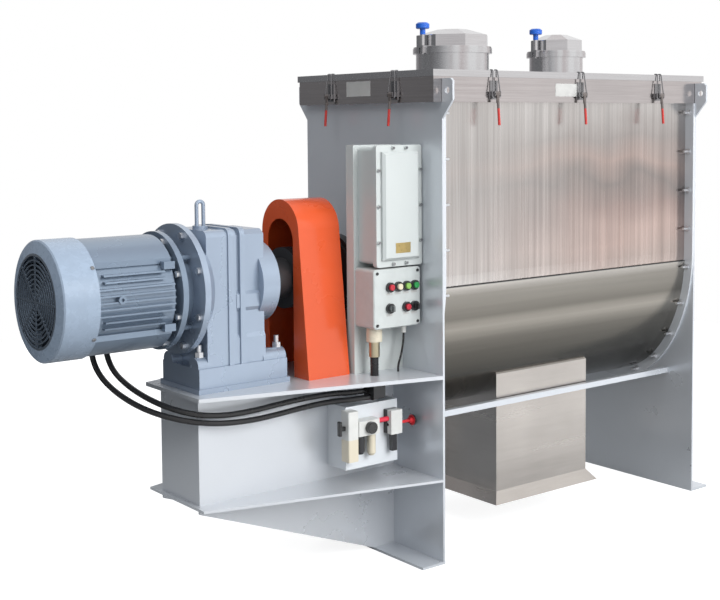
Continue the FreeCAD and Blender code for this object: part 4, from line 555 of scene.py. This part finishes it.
# %% Dress the CAD nodes
FINISHES = {
    "drive_leg_plate": frame_paint, "far_leg_plate": frame_paint, "tie_rails": frame_paint,
    "pedestal_frame": platform_paint, "platform_plate": platform_paint,
    "pedestal_shelf": platform_paint, "trough_shell": trough_steel, "assembly_bolts": bolt_steel,
    "rim_band": band_steel, "lid": lid_steel, "lid_gasket": gasket_rubber,
    "clamp_bases": clamp_steel, "clamp_bails": clamp_steel, "discharge_chute": chute_steel,
    "flap_actuator": bolt_steel, "gearbox_housing": gearbox_paint, "motor_body": motor_paint,
    "fan_cowl": cowl_paint, "coupling_guard": guard_paint, "shaft_bearings": black_iron,
    "control_panel": enclosure_paint, "isolator_box": enclosure_paint,
    "button_box": button_box_paint, "cable_fittings": gland_metal, "motor_cable_a": jacket,
    "motor_cable_b": jacket, "control_conduit": jacket, "sensor_cable": jacket,
    "air_bracket": white_paint, "air_units": air_finish, "agitator_shaft": shaft_steel,
    "outer_ribbons": bright_steel, "inner_ribbons": bright_steel, "ribbon_spokes": bright_steel,
    "shaft_coupling": black_iron, "motor_rotor": fan_paint, "hatch_cover_large": bright_steel,
    "hatch_cover_small": bright_steel, "hatch_knob_large": knob_finish,
    "hatch_knob_small": knob_finish, "discharge_flap": chute_steel, "stop_button": red_plastic,
    "lamp_test_button": cream_plastic, "jog_button": lime_plastic, "start_button": green_plastic,
    "mode_selector": grey_plastic, "flap_close_button": red_plastic,
    "flap_selector": black_plastic, "regulator_knob": black_plastic,
    "valve_plunger": plunger_finish,
}
for name, node in nodes.items():
    finish = lever_finish if name.startswith("clamp_lever") else FINISHES[name]
    node.data.materials.clear()
    node.data.materials.append(finish)
print("dressed", len(nodes))

# %% [markdown]
# The two motor cables leave the terminal box behind the motor, hang under it in a slack curve and
# end in the joint box below the platform. A thin lead drops from the button box to the platform. Each
# is one NURBS curve of order three: its control points pull it into the smooth line that a stiff
# cable takes, where a line through every point would show kinks. Such a curve is a row of parabolas
# between the middles of the chords.

# %% Cable helpers
MM = 1000.0


def cable(name, node, points_mm, radius_mm):
    """A cable along control points given in millimetres from the drive plate's face."""
    curve = bpy.data.curves.new(name, "CURVE")
    curve.dimensions = "3D"
    curve.bevel_depth = radius_mm / MM
    curve.bevel_resolution = 5
    curve.resolution_u = 10
    spline = curve.splines.new("NURBS")
    spline.points.add(len(points_mm) - 1)
    for point, (x, y, z) in zip(spline.points, points_mm):
        point.co = (DRIVE_FACE + x / MM, y / MM, z / MM, 1.0)
    spline.use_endpoint_u = True
    spline.order_u = 3
    obj = bpy.data.objects.new(name, curve)
    bpy.context.scene.collection.objects.link(obj)
    curve.materials.append(jacket)
    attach(obj, "frame")
    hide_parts(node)
    return obj


print("cable helpers ready")

# %% [markdown]
# The routes. Both ends of each cable run straight for a few centimetres, as they do in a gland, and the
# slack hangs between them. The curves ride on the frame and stand in for the CAD model's own cables.

# %% Cables
CABLE_A = [
    (-901.0, 214.0, 816.0), (-901.0, 214.0, 756.0), (-900.0, 196.0, 704.0), (-897.0, 160.0, 668.0),
    (-889.0, 108.0, 642.0), (-875.0, 52.0, 619.0), (-854.0, -8.0, 599.0), (-826.0, -72.0, 582.0),
    (-776.0, -134.0, 567.0), (-704.0, -154.0, 558.0), (-630.0, -153.0, 555.0), (-556.0, -150.0, 557.0),
    (-484.0, -149.0, 562.0), (-414.0, -152.0, 566.0), (-350.0, -162.0, 570.0), (-292.0, -178.0, 573.0),
    (-238.0, -204.0, 572.0), (-183.0, -204.0, 572.0),
]
CABLE_B = [
    (-949.0, 214.0, 816.0), (-949.0, 214.0, 752.0), (-947.0, 200.0, 698.0), (-942.0, 164.0, 660.0),
    (-932.0, 112.0, 630.0), (-914.0, 56.0, 604.0), (-886.0, -4.0, 580.0), (-846.0, -66.0, 561.0),
    (-790.0, -122.0, 546.0), (-722.0, -152.0, 536.0), (-650.0, -161.0, 531.0), (-576.0, -159.0, 529.0),
    (-502.0, -157.0, 532.0), (-430.0, -159.0, 538.0), (-364.0, -169.0, 545.0), (-304.0, -188.0, 551.0),
    (-244.0, -222.0, 554.0), (-183.0, -222.0, 554.0),
]
SENSOR = [
    (-35.0, -216.0, 748.0), (-36.0, -216.0, 726.0), (-43.0, -218.0, 696.0), (-53.0, -221.0, 668.0),
    (-62.0, -219.0, 643.0), (-62.0, -219.0, 621.0),
]
for label, node, points, radius in (("cable_upper", "motor_cable_a", CABLE_A, 9.0),
                                    ("cable_lower", "motor_cable_b", CABLE_B, 9.0),
                                    ("sensor_lead", "sensor_cable", SENSOR, 3.5)):
    made = cable(label, node, points, radius)

# %% [markdown]
# Small repeated things come from Geometry Nodes: one tree copies a round head onto each point of a
# mesh, and another stacks rings into the corrugated sleeve of the control conduit. Their sizes are
# named inputs, so the same tree serves for bolts, washers and screws.

# %% Geometry Nodes helpers
def new_tree(name, sizes):
    """A node group with geometry in and out, a material, and one named input for each size."""
    tree = bpy.data.node_groups.new(name, "GeometryNodeTree")
    tree.interface.new_socket("Geometry", in_out="INPUT", socket_type="NodeSocketGeometry")
    for label, kind in sizes:
        tree.interface.new_socket(label, in_out="INPUT", socket_type=kind)
    tree.interface.new_socket("Geometry", in_out="OUTPUT", socket_type="NodeSocketGeometry")
    return tree, tree.nodes.new("NodeGroupInput"), tree.nodes.new("NodeGroupOutput")


def close_tree(tree, source, finish, instances):
    """End a tree with Realize Instances and Set Material."""
    realize = tree.nodes.new("GeometryNodeRealizeInstances")
    colour = tree.nodes.new("GeometryNodeSetMaterial")
    tree.links.new(instances, realize.inputs["Geometry"])
    tree.links.new(realize.outputs["Geometry"], colour.inputs["Geometry"])
    tree.links.new(source.outputs["Material"], colour.inputs["Material"])
    tree.links.new(colour.outputs["Geometry"], finish.inputs["Geometry"])


def grow(name, tree, places, values, body, material):
    """Run a tree on a mesh of loose points, keep the result as a plain mesh, and make it a piece."""
    seed = bpy.data.meshes.new(name + "_places")
    seed.from_pydata([tuple(place) for place in places], [], [])
    host = bpy.data.objects.new(name + "_host", seed)
    bpy.context.scene.collection.objects.link(host)
    modifier = host.modifiers.new(name, "NODES")
    modifier.node_group = tree
    inputs = [item for item in tree.interface.items_tree if item.in_out == "INPUT"]
    sockets = {item.name: item.identifier for item in inputs}
    for label, value in values.items():
        modifier[sockets[label]] = value
    modifier[sockets["Material"]] = material
    evaluated = host.evaluated_get(bpy.context.evaluated_depsgraph_get())
    mesh = bpy.data.meshes.new_from_object(evaluated)
    mesh.name = name
    host.modifiers.remove(modifier)
    bpy.data.objects.remove(host)
    made = piece(name, mesh, body, material, smooth=False)
    print(name, len(places), "places,", len(mesh.polygons), "faces")
    return made


print("tree helpers ready")

# %% [markdown]
# The first tree makes one cylinder and copies it onto every point, turned the same way. Bolts in a
# row all face one way, so a single rotation input is enough.

# %% Round heads on points
HEAD_SIDES = 16
heads_tree, heads_in, heads_out = new_tree("round_heads", [
    ("Head radius", "NodeSocketFloat"), ("Head height", "NodeSocketFloat"),
    ("Turn", "NodeSocketVector"), ("Material", "NodeSocketMaterial")])
head_shape = heads_tree.nodes.new("GeometryNodeMeshCylinder")
head_shape.inputs["Vertices"].default_value = HEAD_SIDES
heads_tree.links.new(heads_in.outputs["Head radius"], head_shape.inputs["Radius"])
heads_tree.links.new(heads_in.outputs["Head height"], head_shape.inputs["Depth"])
head_copies = heads_tree.nodes.new("GeometryNodeInstanceOnPoints")
heads_tree.links.new(heads_in.outputs["Geometry"], head_copies.inputs["Points"])
heads_tree.links.new(head_shape.outputs["Mesh"], head_copies.inputs["Instance"])
heads_tree.links.new(heads_in.outputs["Turn"], head_copies.inputs["Rotation"])
close_tree(heads_tree, heads_in, heads_out, head_copies.outputs["Instances"])
print("heads tree", len(heads_tree.nodes), "nodes")

# %% [markdown]
# The second tree sweeps a small circle round a large one, which gives a ring, and repeats that ring
# up a line with an even pitch. A corrugated sleeve is nothing else.

# %% Stacked rings
RING_SIDES, WIRE_SIDES = 28, 8
rings_tree, rings_in, rings_out = new_tree("stacked_rings", [
    ("Rings", "NodeSocketInt"), ("Pitch", "NodeSocketFloat"), ("Ring radius", "NodeSocketFloat"),
    ("Wire radius", "NodeSocketFloat"), ("Material", "NodeSocketMaterial")])
ring_line = rings_tree.nodes.new("GeometryNodeMeshLine")
ring_step = rings_tree.nodes.new("ShaderNodeCombineXYZ")
rings_tree.links.new(rings_in.outputs["Pitch"], ring_step.inputs["Z"])
rings_tree.links.new(ring_step.outputs["Vector"], ring_line.inputs["Offset"])
rings_tree.links.new(rings_in.outputs["Rings"], ring_line.inputs["Count"])
ring_circle = rings_tree.nodes.new("GeometryNodeCurvePrimitiveCircle")
ring_circle.inputs["Resolution"].default_value = RING_SIDES
rings_tree.links.new(rings_in.outputs["Ring radius"], ring_circle.inputs["Radius"])
wire_circle = rings_tree.nodes.new("GeometryNodeCurvePrimitiveCircle")
wire_circle.inputs["Resolution"].default_value = WIRE_SIDES
rings_tree.links.new(rings_in.outputs["Wire radius"], wire_circle.inputs["Radius"])
ring_solid = rings_tree.nodes.new("GeometryNodeCurveToMesh")
rings_tree.links.new(ring_circle.outputs["Curve"], ring_solid.inputs["Curve"])
rings_tree.links.new(wire_circle.outputs["Curve"], ring_solid.inputs["Profile Curve"])
ring_copies = rings_tree.nodes.new("GeometryNodeInstanceOnPoints")
rings_tree.links.new(ring_line.outputs["Mesh"], ring_copies.inputs["Points"])
rings_tree.links.new(ring_solid.outputs["Mesh"], ring_copies.inputs["Instance"])
stack_copies = rings_tree.nodes.new("GeometryNodeInstanceOnPoints")
rings_tree.links.new(rings_in.outputs["Geometry"], stack_copies.inputs["Points"])
rings_tree.links.new(ring_copies.outputs["Instances"], stack_copies.inputs["Instance"])
close_tree(rings_tree, rings_in, rings_out, stack_copies.outputs["Instances"])
print("rings tree", len(rings_tree.nodes), "nodes")

# %% [markdown]
# The trough's flanges are bolted through the leg plates. Each nut sits on a plain washer, in a row
# that runs straight down the side and then round the deep curve of the cladding, evenly spaced.

# %% Washers under the flange nuts
BOLT_HALF = 0.350
BOLT_DEPTH = 0.515
FIRST_BOLT = 1.468
BOLT_PITCH = 0.148
BOLT_TURN = 16.5
LAST_TURN = 88.0
WASHER_R = 0.0104
WASHER_T = 0.0016
FLANGE_T = 0.008


def flange_places():
    """Half of the bolt pattern as (y, z)."""
    places = []
    z = FIRST_BOLT
    while z > AXIS_HEIGHT:
        places.append((BOLT_HALF, z))
        z -= BOLT_PITCH
    angle = math.degrees((AXIS_HEIGHT - z) / BOLT_DEPTH)
    while angle < LAST_TURN:
        turn = math.radians(angle)
        places.append((BOLT_HALF * math.cos(turn), AXIS_HEIGHT - BOLT_DEPTH * math.sin(turn)))
        angle += BOLT_TURN
    return places


shell_low, shell_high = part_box("trough_shell")
flange_faces = (shell_low.x + FLANGE_T, shell_high.x - FLANGE_T)
washer_places = []
for x, way in zip(flange_faces, (1.0, -1.0)):
    for y, z in flange_places():
        for side in (-1.0, 1.0):
            washer_places.append((x + way * 0.5 * WASHER_T, side * y, z))
ACROSS_X = (0.0, 0.5 * math.pi, 0.0)
grow("flange_washers", heads_tree, washer_places,
     {"Head radius": WASHER_R, "Head height": WASHER_T, "Turn": ACROSS_X}, "frame", bolt_steel)

# %% [markdown]
# The switch box's cover is held by bolts through its rim: three on each long side and two on each
# short one. The same tree makes their dark caps, now turned to face the front.

# %% Dark bolt caps on the switch box
SWITCH_FRONT = -0.279
SWITCH_LEFT, SWITCH_RIGHT = DRIVE_FACE - 0.183, DRIVE_FACE - 0.010
SWITCH_LOW, SWITCH_TOP = 0.985, 1.359
CAP_INSET = 0.072
CAP_EDGE = 0.001
CAP_R, CAP_HEIGHT = 0.0048, 0.003
ACROSS_Y = (0.5 * math.pi, 0.0, 0.0)
cap_places = []
for z in (SWITCH_LOW + CAP_INSET, 0.5 * (SWITCH_LOW + SWITCH_TOP), SWITCH_TOP - CAP_INSET):
    cap_places += [(SWITCH_LEFT, SWITCH_FRONT, z), (SWITCH_RIGHT, SWITCH_FRONT, z)]
for x in (DRIVE_FACE - 0.124, DRIVE_FACE - 0.070):
    cap_places += [(x, SWITCH_FRONT, z) for z in (SWITCH_LOW + CAP_EDGE, SWITCH_TOP - CAP_EDGE)]
grow("switch_box_bolt_caps", heads_tree, cap_places,
     {"Head radius": CAP_R, "Head height": CAP_HEIGHT, "Turn": ACROSS_Y}, "frame", clamp_steel)

# %% [markdown]
# The control wires leave the button box in a short corrugated sleeve. The CAD model has it as a plain
# tube, and these rings round it give the ribs.

# %% Corrugated conduit sleeve
SLEEVE_FOOT = (DRIVE_FACE - 0.159, -0.216, 0.6125)
grow("conduit_rings", rings_tree, [SLEEVE_FOOT],
     {"Rings": 15, "Pitch": 0.0048, "Ring radius": 0.0128, "Wire radius": 0.0016}, "frame", jacket)

# %% [markdown]
# Four screws hold the fan cowl to the motor. They stand square to its round skin, each on its own
# direction, so they are turned profiles set one by one rather than copies with one rotation.

# %% Cowl screws
COWL_SCREW_LINE = Vector((DRIVE_FACE - 1.108, 0.0, AXIS_HEIGHT))
COWL_SKIN_R = 0.1762
SCREW_PROFILE = [(0.0, 0.0), (0.0, 0.0062), (0.0022, 0.0062), (0.0036, 0.0044), (0.0036, 0.0)]
cowl_screws = bmesh.new()
for turn in (35.0, 145.0, 215.0, 325.0):
    outward = Vector((0.0, math.cos(math.radians(turn)), math.sin(math.radians(turn))))
    add_turned(cowl_screws, SCREW_PROFILE, COWL_SCREW_LINE + outward * COWL_SKIN_R, outward, 20)
piece("cowl_screws", mesh_from(cowl_screws, "cowl_screws"), "frame", clamp_steel, smooth=False)
print("cowl screws", 4)

# %% [markdown]
# The machine carries a few small plates. They are left bare: thin rectangles with softened edges that
# lie on the band, the switch box and the button box.

# %% Bare plates
def bare_plates(name, boxes, material, bevel=0.0003):
    """Thin plates given by two corners each, in metres."""
    bm = bmesh.new()
    for low, high in boxes:
        add_block(bm, low, high, bevel)
    return piece(name, mesh_from(bm, name), "frame", material, smooth=False)


PLATE_PROUD, PLATE_SUNK = 0.0008, 0.0004
band_x, band_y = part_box("rim_band")[0].x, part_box("rim_band")[0].y
bare_plates("band_plates", [
    ((band_x - PLATE_PROUD, -0.046, 1.528), (band_x + PLATE_SUNK, 0.087, 1.579)),
    ((DRIVE_FACE + 0.520, band_y - PLATE_PROUD, 1.524),
     (DRIVE_FACE + 0.643, band_y + PLATE_SUNK, 1.568)),
], label_stock)
bare_plates("switch_box_plate", [
    ((DRIVE_FACE - 0.125, -0.2888, 1.021), (DRIVE_FACE - 0.064, -0.2876, 1.054)),
], brass_metal)
button_labels = []
for x, z in ((-0.136, 0.911), (-0.102, 0.911), (-0.068, 0.911), (-0.034, 0.911),
             (-0.136, 0.843), (-0.068, 0.843), (-0.034, 0.843)):
    centre = DRIVE_FACE + x
    button_labels.append(((centre - 0.012, -0.2686, z - 0.0255),
                          (centre + 0.012, -0.2676, z - 0.0185)))
bare_plates("button_plates", button_labels, label_stock, 0.0002)
print("plates", 2 + 1 + len(button_labels))

# %% [markdown]
# The shut-off valve at the left of the air units has a small black cross handle on its side.

# %% Shut-off handle
handle = bmesh.new()
add_block(handle, (DRIVE_FACE - 0.309, -0.238, 0.462), (DRIVE_FACE - 0.2935, -0.226, 0.476), 0.002)
add_block(handle, (DRIVE_FACE - 0.3185, -0.240, 0.446), (DRIVE_FACE - 0.3085, -0.224, 0.494), 0.003)
piece("shut_off_handle", mesh_from(handle, "shut_off_handle"), "frame", black_plastic, smooth=False)
print("shut-off handle made")

# %% [markdown]
# The studio's floor. The camera sees it glow evenly white, while the machine's soft shadow still
# falls on it. Polished steel sees it pale in front of the machine and dark beneath and behind it, as
# a real floor is, because a mirror that sees only white shows no shape at all.

# %% Floor
FLOOR_HALF = 4.6
FLOOR_GLOW = 0.88
FLOOR_MIRRORED = 0.62
FLOOR_MIRRORED_BACK = 0.02
FLOOR_FADE = (-1.3, -0.1)


def floor_finish():
    """Matt pale grey that glows for the camera, and in reflections of its front part."""
    material, tree, shader, coords = new_finish("studio_floor_white")
    shader.inputs["Base Color"].default_value = (0.27, 0.275, 0.28, 1.0)
    shader.inputs["Roughness"].default_value = 0.9
    path = tree.nodes.new("ShaderNodeLightPath").outputs
    seen = arithmetic(tree, "MULTIPLY", path["Is Camera Ray"], FLOOR_GLOW)
    front = spread(tree, axes(tree, coords)["Y"], FLOOR_MIRRORED, FLOOR_MIRRORED_BACK, *FLOOR_FADE)
    strength = arithmetic(tree, "MULTIPLY_ADD", path["Is Glossy Ray"], front, seen)
    glow = tree.nodes.new("ShaderNodeEmission")
    glow.inputs["Color"].default_value = (1.0, 1.0, 1.0, 1.0)
    tree.links.new(strength, glow.inputs["Strength"])
    total = tree.nodes.new("ShaderNodeAddShader")
    tree.links.new(shader.outputs["BSDF"], total.inputs[0])
    tree.links.new(glow.outputs["Emission"], total.inputs[1])
    tree.links.new(total.outputs["Shader"], tree.nodes["Material Output"].inputs["Surface"])
    return material


def stage_piece(name, corners, material):
    """A four-cornered sheet that belongs to the studio and not to the machine."""
    mesh = bpy.data.meshes.new(name)
    mesh.from_pydata(corners, [], [(0, 1, 2, 3)])
    mesh.materials.append(material)
    obj = bpy.data.objects.new(name, mesh)
    bpy.context.scene.collection.objects.link(obj)


stage_piece("studio_floor", [
    (-FLOOR_HALF, -FLOOR_HALF, 0.0), (FLOOR_HALF, -FLOOR_HALF, 0.0),
    (FLOOR_HALF, FLOOR_HALF, 0.0), (-FLOOR_HALF, FLOOR_HALF, 0.0)], floor_finish())
print("floor ready")

# %% [markdown]
# A dark card stands behind the machine, low down, and only reflections see it. It puts depth into
# faces that would otherwise mirror nothing but white.

# %% Dark card
CARD_Y = 1.5
CARD_TOP = 1.05
CARD_LEFT, CARD_RIGHT = -4.2, 1.15


def card_finish():
    """Nearly black in reflections, and clear to every other ray."""
    material, tree, shader, coords = new_finish("dark_card")
    shader.inputs["Base Color"].default_value = (0.03, 0.034, 0.04, 1.0)
    shader.inputs["Roughness"].default_value = 0.9
    clear = tree.nodes.new("ShaderNodeBsdfTransparent")
    path = tree.nodes.new("ShaderNodeLightPath")
    mix = tree.nodes.new("ShaderNodeMixShader")
    tree.links.new(path.outputs["Is Glossy Ray"], mix.inputs["Fac"])
    tree.links.new(clear.outputs["BSDF"], mix.inputs[1])
    tree.links.new(shader.outputs["BSDF"], mix.inputs[2])
    tree.links.new(mix.outputs["Shader"], tree.nodes["Material Output"].inputs["Surface"])
    return material


stage_piece("dark_card", [
    (CARD_LEFT, CARD_Y, 0.0), (CARD_RIGHT, CARD_Y, 0.0),
    (CARD_RIGHT, CARD_Y, CARD_TOP), (CARD_LEFT, CARD_Y, CARD_TOP)], card_finish())
print("card ready")

# %% [markdown]
# The surround. The camera sees plain white. The machine is lit by a soft grey sky that is brighter on
# one side, and its reflections see a stronger version of that sky with a few darker patches, as a
# workshop has.

# %% Surround
BRIGHT_SIDE = (0.62, -0.56, 0.47)
world = bpy.data.worlds.new("studio_surround")
bpy.context.scene.world = world
world.use_nodes = True
sky = world.node_tree
direction = sky.nodes.new("ShaderNodeTexCoord").outputs["Generated"]
towards = sky.nodes.new("ShaderNodeVectorMath")
towards.operation = "DOT_PRODUCT"
towards.inputs[1].default_value = BRIGHT_SIDE
sky.links.new(direction, towards.inputs[0])
facing = spread(sky, towards.outputs["Value"], 0.0, 1.0, -1.0, 1.0)
soft_sky = ramp(sky, facing, [
    (0.0, (0.18, 0.19, 0.20)), (0.35, (0.44, 0.46, 0.48)), (0.65, (0.84, 0.86, 0.88)),
    (1.0, (1.0, 1.0, 1.0))])
level = ramp(sky, facing, [
    (0.0, (0.10, 0.105, 0.11)), (0.22, (0.26, 0.26, 0.27)), (0.45, (0.72, 0.72, 0.73)),
    (0.68, (1.0, 1.0, 1.0))])
shapes = noise_value(sky, mapped(sky, direction, (1.0, 1.0, 0.35)), 2.4, 2.0, 0.5)
patches = ramp(sky, shapes, [(0.38, (0.70, 0.64, 0.64)), (0.52, (1.0, 1.0, 1.0))])


def background(colour=None):
    """A Background node, white unless a colour socket is given."""
    node = sky.nodes.new("ShaderNodeBackground")
    if colour is None:
        node.inputs["Color"].default_value = (1.0, 1.0, 1.0, 1.0)
    else:
        sky.links.new(colour, node.inputs["Color"])
    return node.outputs["Background"]


def chosen(factor, otherwise, when):
    """A Mix Shader that takes the second shader for one kind of ray."""
    node = sky.nodes.new("ShaderNodeMixShader")
    sky.links.new(factor, node.inputs["Fac"])
    sky.links.new(otherwise, node.inputs[1])
    sky.links.new(when, node.inputs[2])
    return node.outputs["Shader"]


rays = sky.nodes.new("ShaderNodeLightPath").outputs
mirrored = background(overlay(sky, level, 1.0, patches, "MULTIPLY"))
lit = chosen(rays["Is Glossy Ray"], background(soft_sky), mirrored)
shown = chosen(rays["Is Camera Ray"], lit, background())
sky.links.new(shown, sky.nodes["World Output"].inputs["Surface"])
print("surround ready")

# %% [markdown]
# Four large soft lamps: one at the front, and weaker ones at both sides and behind, so that the machine
# reads from every side. Reflections don't see them, because a square of light in steel looks odd.

# %% Lamps
def soft_lamp(name, place, aim, size, watts):
    """A square soft box that looks at a point."""
    data = bpy.data.lights.new(name, "AREA")
    data.shape = "SQUARE"
    data.size = size
    data.energy = watts
    lamp = bpy.data.objects.new(name, data)
    lamp.visible_glossy = False
    bpy.context.scene.collection.objects.link(lamp)
    turned = (Vector(aim) - Vector(place)).to_track_quat("-Z", "Y").to_matrix().to_4x4()
    lamp.matrix_world = Matrix.Translation(Vector(place)) @ turned


soft_lamp("key_box", (0.6, -5.0, 3.0), (0.1, 0.0, 0.9), 3.2, 300.0)
soft_lamp("side_box", (4.4, -2.4, 2.6), (0.6, 0.0, 0.9), 2.6, 70.0)
soft_lamp("left_box", (-4.6, -1.0, 5.0), (-0.2, 0.0, 1.4), 2.6, 70.0)
soft_lamp("back_box", (0.6, 5.0, 2.6), (0.1, 0.0, 0.8), 3.0, 130.0)
bpy.context.scene.view_settings.view_transform = "Standard"
print("lamps", 4)
